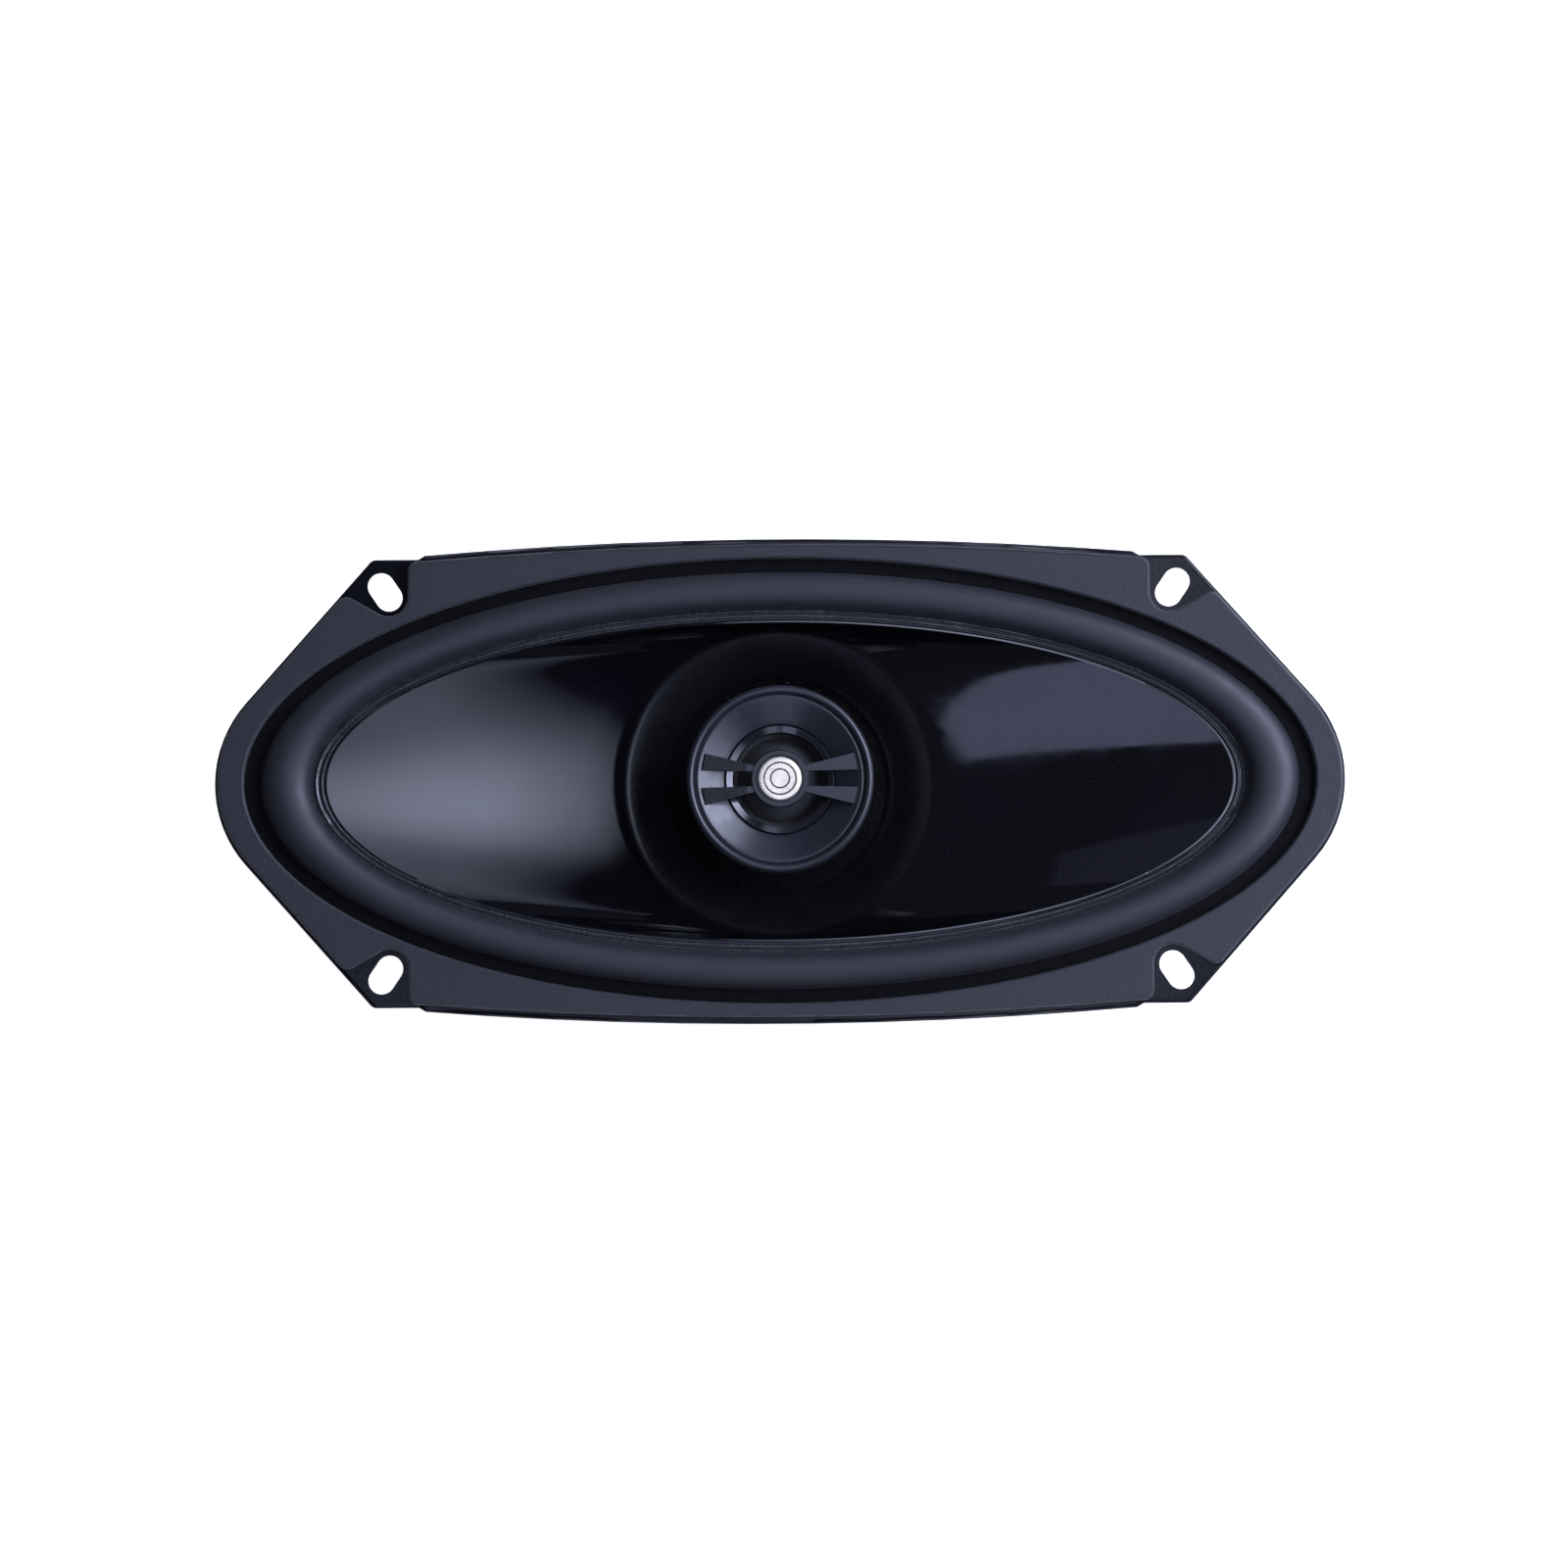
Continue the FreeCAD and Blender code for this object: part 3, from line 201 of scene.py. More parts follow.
def rope_piece(name, route, radius, strands, lay_length, material):
    """A twisted rope of strands along a route, as one closed mesh."""
    line = spline_points(route, 24)
    sides = strands * 6
    points = []
    travelled = 0.0
    side = Vector((0, 0, 1))
    for index, place in enumerate(line):
        ahead = line[min(index + 1, len(line) - 1)] - line[max(index - 1, 0)]
        ahead.normalize()
        side = (side - ahead * side.dot(ahead)).normalized()
        across = ahead.cross(side)
        if index:
            travelled += (place - line[index - 1]).length
        twist = 2 * math.pi * travelled / lay_length
        for step in range(sides):
            turn = 2 * math.pi * step / sides
            reach = radius * (0.86 + 0.14 * abs(math.sin(strands * (turn - twist) / 2)))
            points.append(place + side * reach * math.cos(turn) + across * reach * math.sin(turn))
    faces = grid_faces(len(line), sides, False)
    faces.append(tuple(range(sides)))
    faces.append(tuple((len(line) - 1) * sides + step for step in range(sides)))
    return mesh_piece(name, points, faces, material, 60)


# ---- material helpers ----

REFRACTION = 1.5


class Finish:
    """One procedural material: a Principled shader and short calls that add nodes to it."""

    def __init__(self, name, roughness, metallic=0.0, coat=0.0, sheen=0.0):
        self.material = bpy.data.materials.new(name)
        self.material.use_nodes = True
        self.tree = self.material.node_tree
        self.shader = self.tree.nodes["Principled BSDF"]
        self.shader.inputs["Roughness"].default_value = roughness
        self.shader.inputs["Metallic"].default_value = metallic
        self.shader.inputs["IOR"].default_value = REFRACTION
        self.shader.inputs["Coat Weight"].default_value = coat
        self.shader.inputs["Sheen Weight"].default_value = sheen
        self.place = self.node("ShaderNodeTexCoord").outputs["Object"]
        self.height = None

    def node(self, kind, **settings):
        """Add a node and set its properties."""
        made = self.tree.nodes.new(kind)
        for key, setting in settings.items():
            setattr(made, key, setting)
        return made

    def link(self, source, target):
        """Join two sockets, or set a number."""
        if isinstance(source, (int, float)):
            target.default_value = source
        else:
            self.tree.links.new(source, target)

    def math(self, operation, first, second=0.0):
        """A math node's output."""
        made = self.node("ShaderNodeMath", operation=operation)
        self.link(first, made.inputs[0])
        self.link(second, made.inputs[1])
        return made.outputs[0]

    def axes(self):
        """The place's three coordinates."""
        made = self.node("ShaderNodeSeparateXYZ")
        self.link(self.place, made.inputs[0])
        return made.outputs

    def axis_distance(self):
        """The place's distance from the Z axis."""
        x, y, _ = self.axes()
        squares = self.math("ADD", self.math("MULTIPLY", x, x), self.math("MULTIPLY", y, y))
        return self.math("SQRT", squares)

    def bell(self, source, middle, width):
        """A bell curve of the source: 1 at the middle, 1/e at a width to either side."""
        away = self.math("SUBTRACT", source, middle)
        squared = self.math("MULTIPLY", away, away)
        return self.math("EXPONENT", self.math("MULTIPLY", squared, -1 / (width * width)))

    def stretched(self, x, y, z):
        """The place with each axis scaled, for brushed or streaked noise."""
        made = self.node("ShaderNodeMapping")
        made.inputs["Scale"].default_value = (x, y, z)
        self.link(self.place, made.inputs["Vector"])
        return made.outputs[0]

    def noise(self, size, detail=3.0, roughness=0.5, place=None):
        """Noise whose features are about that size, in metres."""
        made = self.node("ShaderNodeTexNoise")
        made.inputs["Scale"].default_value = 1 / size
        made.inputs["Detail"].default_value = detail
        made.inputs["Roughness"].default_value = roughness
        self.link(place or self.place, made.inputs["Vector"])
        return made.outputs["Fac"]

    def specks(self, spacing, radius_share):
        """1 inside small scattered specks, 0 elsewhere."""
        made = self.node("ShaderNodeTexVoronoi")
        made.inputs["Scale"].default_value = 1 / spacing
        self.link(self.place, made.inputs["Vector"])
        return self.math("LESS_THAN", made.outputs["Distance"], radius_share)

    def bands(self, pitch, direction):
        """Wave bands of that pitch, in metres, one after another along an axis."""
        made = self.node("ShaderNodeTexWave", wave_type="BANDS", wave_profile="SIN")
        made.bands_direction = direction
        made.inputs["Scale"].default_value = 2 * math.pi / 20 / pitch
        self.link(self.place, made.inputs["Vector"])
        return made.outputs["Fac"]

    def ramp(self, source, start, end, low_value, high_value):
        """source's range start..end mapped to low_value..high_value, clamped."""
        made = self.node("ShaderNodeMapRange")
        self.link(source, made.inputs["Value"])
        made.inputs["From Min"].default_value = start
        made.inputs["From Max"].default_value = end
        made.inputs["To Min"].default_value = low_value
        made.inputs["To Max"].default_value = high_value
        return made.outputs["Result"]

    def mix(self, share, first, second):
        """Colour from first to second; both are colours or sockets."""
        made = self.node("ShaderNodeMix", data_type="RGBA")
        self.link(share, made.inputs["Factor"])
        for source, socket in ((first, made.inputs[6]), (second, made.inputs[7])):
            if isinstance(source, tuple):
                socket.default_value = (*source, 1)
            else:
                self.link(source, socket)
        return made.outputs[2]

    def colour(self, source):
        """Link the base colour."""
        self.link(source, self.shader.inputs["Base Color"])

    def roughness(self, source):
        """Link the roughness."""
        self.link(source, self.shader.inputs["Roughness"])

    def bump(self, source, depth, strength=1.0):
        """Add a bump of that real depth, in metres, on top of any earlier bump."""
        made = self.node("ShaderNodeBump")
        made.inputs["Strength"].default_value = strength
        made.inputs["Distance"].default_value = depth
        self.link(source, made.inputs["Height"])
        if self.height is not None:
            self.link(self.height, made.inputs["Normal"])
        self.height = made.outputs["Normal"]
        self.link(self.height, self.shader.inputs["Normal"])


def shade(colour, factor):
    """The colour made lighter or darker."""
    return tuple(channel * factor for channel in colour)


# ---- materials, one function each ----

def painted_steel():
    """Semi-gloss black coat on the pressed basket: orange peel, dust and small chips."""
    coat = Finish("painted_steel", 0.16)
    coat.shader.inputs["Specular IOR Level"].default_value = 0.22
    paint = (0.0040, 0.0042, 0.0058)
    tone = coat.mix(coat.noise(9 * MM, 4), shade(paint, 0.75), shade(paint, 1.3))
    coat.colour(coat.mix(coat.specks(1.6 * MM, 0.035), tone, (0.06, 0.06, 0.07)))
    coat.roughness(coat.ramp(coat.noise(4 * MM, 5), 0.3, 0.7, 0.13, 0.2))
    coat.bump(coat.noise(0.9 * MM, 2), 0.02 * MM)
    coat.bump(coat.noise(0.18 * MM, 2), 0.006 * MM)
    return coat.material


def gasket_foam():
    """Matt closed-cell rubber foam with a fine grain, pin holes and pale flecks."""
    foam = Finish("gasket_foam", 0.62, sheen=0.12)
    rubber = (0.0125, 0.0135, 0.0180)
    tone = foam.mix(foam.noise(14 * MM, 5, 0.6), shade(rubber, 0.82), shade(rubber, 1.18))
    grained = foam.mix(foam.noise(0.35 * MM, 3, 0.7), shade(rubber, 0.7), tone)
    foam.colour(foam.mix(foam.specks(1.1 * MM, 0.07), grained, (0.10, 0.105, 0.12)))
    foam.roughness(foam.ramp(foam.noise(3 * MM, 4), 0.3, 0.7, 0.46, 0.56))
    foam.bump(foam.noise(0.45 * MM, 4, 0.65), 0.07 * MM)
    foam.bump(foam.specks(0.8 * MM, 0.16), -0.05 * MM, 0.5)
    return foam.material


def cone_plastic():
    """High gloss black moulding, satin in its round bowl: fine dust, swirls and a faint flow ripple."""
    gloss = Finish("cone_plastic", 0.05)
    bowl = gloss.ramp(gloss.axis_distance(), 34.5 * MM, 36.5 * MM, 1, 0)
    black = (0.0022, 0.0022, 0.0032)
    dusty = gloss.mix(gloss.specks(2.6 * MM, 0.028), black, (0.10, 0.105, 0.125))
    haze = gloss.ramp(gloss.noise(30 * MM, 3), 0.4, 0.7, 0.0, 0.35)
    gloss.colour(gloss.mix(haze, dusty, (0.004, 0.004, 0.006)))
    polish = gloss.ramp(gloss.noise(7 * MM, 6, 0.65), 0.35, 0.75, 0.035, 0.085)
    gloss.roughness(gloss.math("ADD", polish, gloss.math("MULTIPLY", bowl, 0.22)))
    gloss.bump(gloss.noise(16 * MM, 1), 0.02 * MM, 0.6)
    return gloss.material


def surround_rubber():
    """Satin butyl rubber with mould grain and dusty bloom."""
    rubber = Finish("surround_rubber", 0.46, sheen=0.04)
    black = (0.0130, 0.0135, 0.0180)
    tone = rubber.mix(rubber.noise(11 * MM, 5, 0.6), shade(black, 0.8), shade(black, 1.25))
    rubber.colour(rubber.mix(rubber.specks(1.9 * MM, 0.04), tone, (0.060, 0.063, 0.072)))
    rubber.roughness(rubber.ramp(rubber.noise(5 * MM, 4), 0.3, 0.7, 0.47, 0.58))
    rubber.bump(rubber.noise(0.22 * MM, 3), 0.012 * MM)
    rubber.bump(rubber.noise(2.5 * MM, 2), 0.03 * MM, 0.5)
    return rubber.material


def land_painted_shade():
    """Dull near-black, barely reflective film on the surround's land, beside the gasket: painted shade for
    the groove there, dark from every side.
    """
    film = Finish("land_painted_shade", 0.7)
    film.shader.inputs["Specular IOR Level"].default_value = 0.08
    # Painted shade: the land's colour is kept near-black so the groove beside the gasket reads dark under
    # any light.
    film.colour(film.mix(film.noise(2 * MM, 4), (0.0010, 0.0010, 0.0014), (0.0028, 0.0028, 0.0036)))
    film.roughness(film.ramp(film.noise(1.2 * MM, 4), 0.3, 0.7, 0.55, 0.8))
    film.bump(film.noise(0.8 * MM, 3), 0.03 * MM)
    return film.material


def lip_adhesive():
    """Glossy adhesive squeezed out along the surround's lip: uneven, part wet and part dull."""
    glue = Finish("lip_adhesive", 0.3)
    wet = glue.noise(5 * MM, 3, 0.6)
    glue.colour(glue.mix(glue.noise(1.5 * MM, 4), (0.0045, 0.0047, 0.0062), (0.016, 0.017, 0.021)))
    glue.roughness(glue.ramp(wet, 0.35, 0.65, 0.14, 0.5))
    glue.bump(glue.noise(1.3 * MM, 4, 0.6), 0.12 * MM)
    glue.bump(glue.noise(0.4 * MM, 3), 0.03 * MM)
    return glue.material


def pod_plastic():
    """Satin black moulding with a fine spark-eroded grain."""
    satin = Finish("pod_plastic", 0.3)
    black = (0.0155, 0.0162, 0.0210)
    tone = satin.mix(satin.noise(6 * MM, 4), shade(black, 0.85), shade(black, 1.2))
    satin.colour(satin.mix(satin.specks(1.4 * MM, 0.035), tone, (0.09, 0.095, 0.11)))
    satin.roughness(satin.ramp(satin.noise(2.5 * MM, 5), 0.3, 0.7, 0.25, 0.35))
    satin.bump(satin.noise(0.14 * MM, 3), 0.008 * MM)
    return satin.material


def bridge_plastic():
    """The pod's moulding on the phase bridge, with a woven knurl on its two left ribs and on its rims; the
    left ribs carry painted shade, darker on the side facing away from the lights.
    """
    satin = Finish("bridge_plastic", 0.38)
    x, y, _ = satin.axes()
    left = satin.math("LESS_THAN", x, -7.6 * MM)
    diagonals = []
    for sign in (1, -1):
        slanted = satin.math("ADD", x, satin.math("MULTIPLY", y, sign))
        diagonals.append(satin.math("SINE", satin.math("MULTIPLY", slanted, 2 * math.pi / (0.62 * MM))))
    knurl = satin.math("MULTIPLY", satin.math("MULTIPLY", diagonals[0], diagonals[1]), left)
    black = (0.0130, 0.0135, 0.0180)
    worn = satin.mix(satin.noise(2 * MM, 4), shade(black, 0.8), shade(black, 1.25))
    # Painted shade: everything left of x = -7.6 mm is darkened three quarters of the way to near-black, as
    # the left ribs face away from the lights.
    satin.colour(satin.mix(satin.math("MULTIPLY", left, 0.75), worn, (0.003, 0.003, 0.005)))
    satin.roughness(satin.ramp(left, 0, 1, 0.36, 0.55))
    satin.bump(knurl, 0.09 * MM, 0.9)
    satin.bump(satin.noise(0.14 * MM, 3), 0.008 * MM)
    return satin.material


def pod_gloss():
    """Polished black ring at the throat."""
    gloss = Finish("pod_gloss", 0.12, coat=0.3)
    black = (0.0100, 0.0100, 0.0140)
    gloss.colour(gloss.mix(gloss.noise(2 * MM, 4), shade(black, 0.8), shade(black, 1.3)))
    gloss.roughness(gloss.ramp(gloss.noise(1.5 * MM, 5), 0.3, 0.7, 0.09, 0.17))
    gloss.bump(gloss.noise(3 * MM, 2), 0.01 * MM)
    return gloss.material


def metal(name, colour, roughness, spread=0.08, grain_depth=0.004, streak=(1, 1, 1)):
    """A bare or plated metal: mottled tone, uneven polish and fine drawing marks."""
    bare = Finish(name, roughness, metallic=1.0)
    place = bare.stretched(*streak)
    cloud = bare.noise(5 * MM, 5, 0.6)
    bare.colour(bare.mix(cloud, shade(colour, 0.78), shade(colour, 1.08)))
    polish = bare.noise(0.8 * MM, 5, 0.6, place)
    bare.roughness(bare.ramp(polish, 0.3, 0.7, roughness - spread, roughness + spread))
    bare.bump(bare.noise(0.25 * MM, 3, 0.6, place), grain_depth * MM)
    return bare.material


def blackened_steel():
    """Black passivated steel of the motor plates, a little worn to brown-grey."""
    steel = Finish("blackened_steel", 0.42, metallic=0.6)
    dark = (0.030, 0.030, 0.034)
    tone = steel.mix(steel.noise(8 * MM, 6, 0.65), shade(dark, 0.6), shade(dark, 1.5))
    worn = steel.ramp(steel.noise(1.8 * MM, 6, 0.7), 0.62, 0.72, 0, 1)
    steel.colour(steel.mix(worn, tone, (0.12, 0.115, 0.11)))
    steel.roughness(steel.ramp(steel.noise(3 * MM, 5), 0.3, 0.7, 0.32, 0.52))
    steel.bump(steel.noise(0.3 * MM, 3), 0.012 * MM)
    return steel.material


def ferrite():
    """Sintered ferrite: matt charcoal with pores, scuffs and pale handling marks."""
    stone = Finish("ferrite", 0.6)
    grey = (0.050, 0.050, 0.054)
    tone = stone.mix(stone.noise(12 * MM, 6, 0.6), shade(grey, 0.7), shade(grey, 1.25))
    scuffs = stone.ramp(stone.noise(3 * MM, 7, 0.75), 0.62, 0.75, 0, 0.6)
    scuffed = stone.mix(scuffs, tone, (0.16, 0.16, 0.165))
    stone.colour(stone.mix(stone.specks(1.3 * MM, 0.09), scuffed, (0.012, 0.012, 0.013)))
    stone.roughness(stone.ramp(stone.noise(2 * MM, 5), 0.3, 0.7, 0.48, 0.7))
    stone.bump(stone.noise(0.5 * MM, 5, 0.7), 0.05 * MM)
    stone.bump(stone.specks(1.3 * MM, 0.09), -0.08 * MM)
    return stone.material


def cloth(name, colour, pitch, depth, roughness, coat=0.0):
    """Plain woven cloth soaked with resin or varnish."""
    woven = Finish(name, roughness, coat=coat, sheen=0.15)
    warp = woven.bands(pitch, "X")
    weft = woven.bands(pitch, "Y")
    threads = woven.math("MAXIMUM", warp, weft)
    crossing = woven.math("MULTIPLY", warp, weft)
    tone = woven.mix(woven.noise(7 * MM, 5), shade(colour, 0.8), shade(colour, 1.15))
    # Painted shade: where neither warp nor weft rises, in the gaps between the threads, the colour is
    # darkened to 45 percent.
    woven.colour(woven.mix(threads, shade(colour, 0.45), tone))
    woven.roughness(woven.ramp(woven.noise(3 * MM, 4), 0.3, 0.7, roughness - 0.08, roughness + 0.08))
    woven.bump(woven.math("ADD", threads, crossing), depth)
    woven.bump(woven.noise(0.2 * MM, 3), 0.01 * MM)
    return woven.material


def copper_wire():
    """Enamelled copper turns, one wire beside the next."""
    wire = Finish("copper_wire", 0.24, metallic=1.0, coat=0.5)
    copper = (0.62, 0.24, 0.10)
    turns = wire.bands(0.26 * MM, "Z")
    tone = wire.mix(wire.noise(4 * MM, 4), shade(copper, 0.8), shade(copper, 1.1))
    # Painted shade: the low parts of the bands, in the grooves between the turns, are darkened to about a
    # third of the copper's colour.
    wire.colour(wire.mix(turns, shade(copper, 0.35), tone))
    wire.roughness(wire.ramp(wire.noise(1 * MM, 4), 0.3, 0.7, 0.18, 0.34))
    wire.bump(turns, 0.07 * MM)
    return wire.material


def fibre_board():
    """Pressed brown fibre board with visible chips."""
    board = Finish("fibre_board", 0.7)
    brown = (0.19, 0.125, 0.062)
    chips = board.noise(1.2 * MM, 6, 0.75, board.stretched(1, 0.35, 1))
    board.colour(board.mix(board.ramp(chips, 0.35, 0.68, 0, 1), shade(brown, 0.55), shade(brown, 1.35)))
    board.roughness(board.ramp(board.noise(2 * MM, 5), 0.3, 0.7, 0.6, 0.8))
    board.bump(board.noise(0.35 * MM, 5, 0.7), 0.04 * MM)
    return board.material


def soft_plastic(name, colour, roughness):
    """Insulation or sleeve: even colour with wipe marks and a faint waviness."""
    skin = Finish(name, roughness)
    skin.colour(skin.mix(skin.noise(3 * MM, 4), shade(colour, 0.8), shade(colour, 1.15)))
    skin.roughness(skin.ramp(skin.noise(1.5 * MM, 4), 0.3, 0.7, roughness - 0.08, roughness + 0.1))
    skin.bump(skin.noise(0.6 * MM, 3), 0.02 * MM)
    return skin.material


def paper_collar():
    """Varnished paper collar with a long-fibred grain."""
    paper = Finish("paper_collar", 0.55)
    brown = (0.075, 0.055, 0.036)
    fibres = paper.noise(0.5 * MM, 6, 0.7, paper.stretched(1, 1, 0.25))
    paper.colour(paper.mix(fibres, shade(brown, 0.6), shade(brown, 1.4)))
    paper.roughness(paper.ramp(paper.noise(2 * MM, 4), 0.3, 0.7, 0.45, 0.65))
    paper.bump(fibres, 0.03 * MM)
    return paper.material


def badge_metal():
    """Bright spun disc with a satin turning lay."""
    disc = Finish("badge_metal", 0.3, metallic=0.55)
    lathe = disc.math("SINE", disc.math("MULTIPLY", disc.axis_distance(), 2 * math.pi / (0.16 * MM)))
    disc.colour(disc.mix(disc.noise(1.5 * MM, 4), (0.86, 0.78, 0.62), (0.97, 0.89, 0.72)))
    disc.roughness(disc.ramp(disc.noise(0.6 * MM, 5), 0.3, 0.7, 0.24, 0.4))
    disc.bump(lathe, 0.006 * MM, 0.7)
    return disc.material


def make_materials():
    """Every material by the name of its slot in the record."""
    return {
        "painted_steel": painted_steel(),
        "gasket_foam": gasket_foam(),
        "plated_steel": metal("plated_steel", (0.50, 0.50, 0.48), 0.32),
        "blackened_steel": blackened_steel(),
        "ferrite": ferrite(),
        "cone_plastic": cone_plastic(),
        "surround_rubber": surround_rubber(),
        "spider_cloth": cloth("spider_cloth", (0.42, 0.22, 0.055), 0.7 * MM, 0.07 * MM, 0.62),
        "former_foil": metal("former_foil", (0.66, 0.66, 0.67), 0.28, streak=(1, 1, 0.1)),
        "copper_wire": copper_wire(),
        "tinsel_braid": metal("tinsel_braid", (0.60, 0.36, 0.22), 0.34, streak=(1, 0.3, 1)),
        "pod_plastic": pod_plastic(),
        "pod_gloss": pod_gloss(),
        "badge_metal": badge_metal(),
        "fibre_board": fibre_board(),
        "tinned_blade": metal("tinned_blade", (0.70, 0.69, 0.66), 0.3, streak=(1, 1, 0.15)),
        "capacitor_sleeve": soft_plastic("capacitor_sleeve", (0.012, 0.030, 0.11), 0.26),
        "lead_red": soft_plastic("lead_red", (0.36, 0.012, 0.012), 0.42),
        "lead_black": soft_plastic("lead_black", (0.012, 0.012, 0.013), 0.42),
        "nickel_magnet": metal("nickel_magnet", (0.68, 0.66, 0.62), 0.16, spread=0.05),
        "silk": cloth("silk", (0.004, 0.004, 0.005), 0.22 * MM, 0.03 * MM, 0.48),
        "paper_collar": paper_collar(),
    }


MATERIALS = make_materials()


def slot_of(node):
    """The record's material slot of a CAD node."""
    return next(item["material_slot"] for item in frame["record"]["subparts"] if item["node"] == node)


# ---- pieces of the moving cone ----

NECK_FOOT_Z = -25.6 * MM
NECK = (14.2 * MM, 14.2 * MM, -23.4 * MM)
BOWL = (25.0 * MM, 25.0 * MM, -12.0 * MM)
CREASE = (35.6 * MM, 35.6 * MM, -7.2 * MM)
CONE_EDGE = (103.6 * MM, 36.3 * MM)
CONE_WALL = 0.8 * MM
RUBBER = 0.6 * MM
CROWN = (112.6 * MM, 43.4 * MM)
ROLL_HALF = (5.7 * MM, 4.2 * MM)
ROLL_RISE = 4.0 * MM
ROLL_STEPS = 28
ELLIPSE_SEGMENTS = 320
CORNER_STEPS = 8
WING_ROWS = 10
SPLITS_PER_ROW = 25


def rounded(corners, reaches, steps):
    """The stations of a broken line with each inner corner rounded over a reach before and after it."""
    stations = [corners[0]]
    for index, (before, after) in enumerate(reaches, 1):
        corner = Vector(corners[index])
        start = corner + (Vector(corners[index - 1]) - corner).normalized() * before
        end = corner + (Vector(corners[index + 1]) - corner).normalized() * after
        for step in range(steps + 1):
            share = step / steps
            place = start * (1 - share)**2 + corner * (2 * share * (1 - share)) + end * share**2
            stations.append(tuple(place))
    return stations + [corners[-1]]


def make_cone():
    """Shell with a round bowl at its neck, two long shallow wings and a flat gluing rim."""
    rim_z = CONE_RIM.z
    foot = (FORMER_RADIUS, FORMER_RADIUS)
    corners = [NECK, BOWL, CREASE, (*CONE_EDGE, rim_z)]
    front = rounded(corners, [(2 * MM, 2 * MM), (2 * MM, 3.2 * MM)], CORNER_STEPS)
    # A last station close to the edge keeps the flat rim from bending the wing's shading.
    wing = between(front[-2], front[-1], WING_ROWS * SPLITS_PER_ROW)
    front = front[:-1] + wing[SPLITS_PER_ROW::SPLITS_PER_ROW] + [wing[-1]]
    rim = [
        (*CONE_EDGE, rim_z),
        (CONE_RIM.x - 0.1 * MM, CONE_RIM.y - 0.1 * MM, rim_z),
        (CONE_RIM.x, CONE_RIM.y, rim_z - 0.15 * MM),
        (CONE_RIM.x, CONE_RIM.y, rim_z - CONE_WALL),
    ]
    back_edge = (CONE_EDGE[0] + 0.3 * MM, CONE_EDGE[1] + 0.5 * MM, rim_z - CONE_WALL)
    back_foot = (FORMER_RADIUS + 1.05 * MM, FORMER_RADIUS + 1.05 * MM, NECK_FOOT_Z)
    back_crease = (CREASE[0] + 0.5 * MM, CREASE[1] + 0.5 * MM, CREASE[2] - CONE_WALL)
    back_bowl = (BOWL[0] + 0.5 * MM, BOWL[1] + 0.5 * MM, BOWL[2] - 1.0 * MM)
    back_corners = [back_edge, back_crease, back_bowl, back_foot]
    back = rounded(back_corners, [(7 * MM, 3 * MM), (2 * MM, 2 * MM)], CORNER_STEPS)
    section = front + rim + back + [(*foot, NECK_FOOT_Z), (*foot, NECK[2])]
    cone = ring_piece("cone_shell", section, ELLIPSE_SEGMENTS, MATERIALS["cone_plastic"], 20)
    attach(cone, "woofer_cone")
    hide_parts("cone")


def roll_station(turn, thinner):
    """A place on the half roll's outer face, or its inner face if thinner, by angle from the outer foot."""
    shrink = RUBBER if thinner else 0.0
    base = LAND_Z + (0 if thinner else RUBBER)
    half = [max(reach - shrink, 0) for reach in ROLL_HALF]
    return (CROWN[0] + half[0] * math.cos(turn), CROWN[1] + half[1] * math.cos(turn),
            base + ROLL_RISE * math.sin(turn))


def lip_stations():
    """The gluing lip's upper face from the roll to the cone: a step, two beads and a feather edge."""
    foot = roll_station(math.pi, False)
    edge = (CONE_EDGE[0] + 0.4 * MM, CONE_EDGE[1] + 0.4 * MM)
    flat_z = CONE_RIM.z + RUBBER
    step = [(0.00, 0.0), (0.10, -0.10), (0.22, -0.10)]
    outer_bead = [(0.30, 0.16), (0.36, 0.22), (0.42, 0.16), (0.50, -0.12), (0.66, -0.14)]
    inner_bead = [(0.74, 0.10), (0.82, 0.20), (0.90, 0.12), (0.97, -0.15), (1.00, -0.40)]
    across = (edge[0] - foot[0], edge[1] - foot[1])
    return [(foot[0] + across[0] * share, foot[1] + across[1] * share, flat_z + rise * MM)
            for share, rise in step + outer_bead + inner_bead]


def show_land_shade_and_lip_glue(ring, outer, inner):
    """Give the surround's upper faces outside its roll the land's painted shade, and those inside it the
    lip's adhesive.
    """
    ring.data.materials.append(land_painted_shade())
    ring.data.materials.append(lip_adhesive())
    for face in ring.data.polygons:
        past_outer = math.hypot(face.center.x / outer[0], face.center.y / outer[1]) > 1.001
        within_inner = math.hypot(face.center.x / inner[0], face.center.y / inner[1]) < 0.999
        # Faces past the roll's outer foot get the land's painted shade.
        if face.normal.z > 0.2 and past_outer:
            face.material_index = 1
        if face.normal.z > 0.2 and within_inner:
            face.material_index = 2


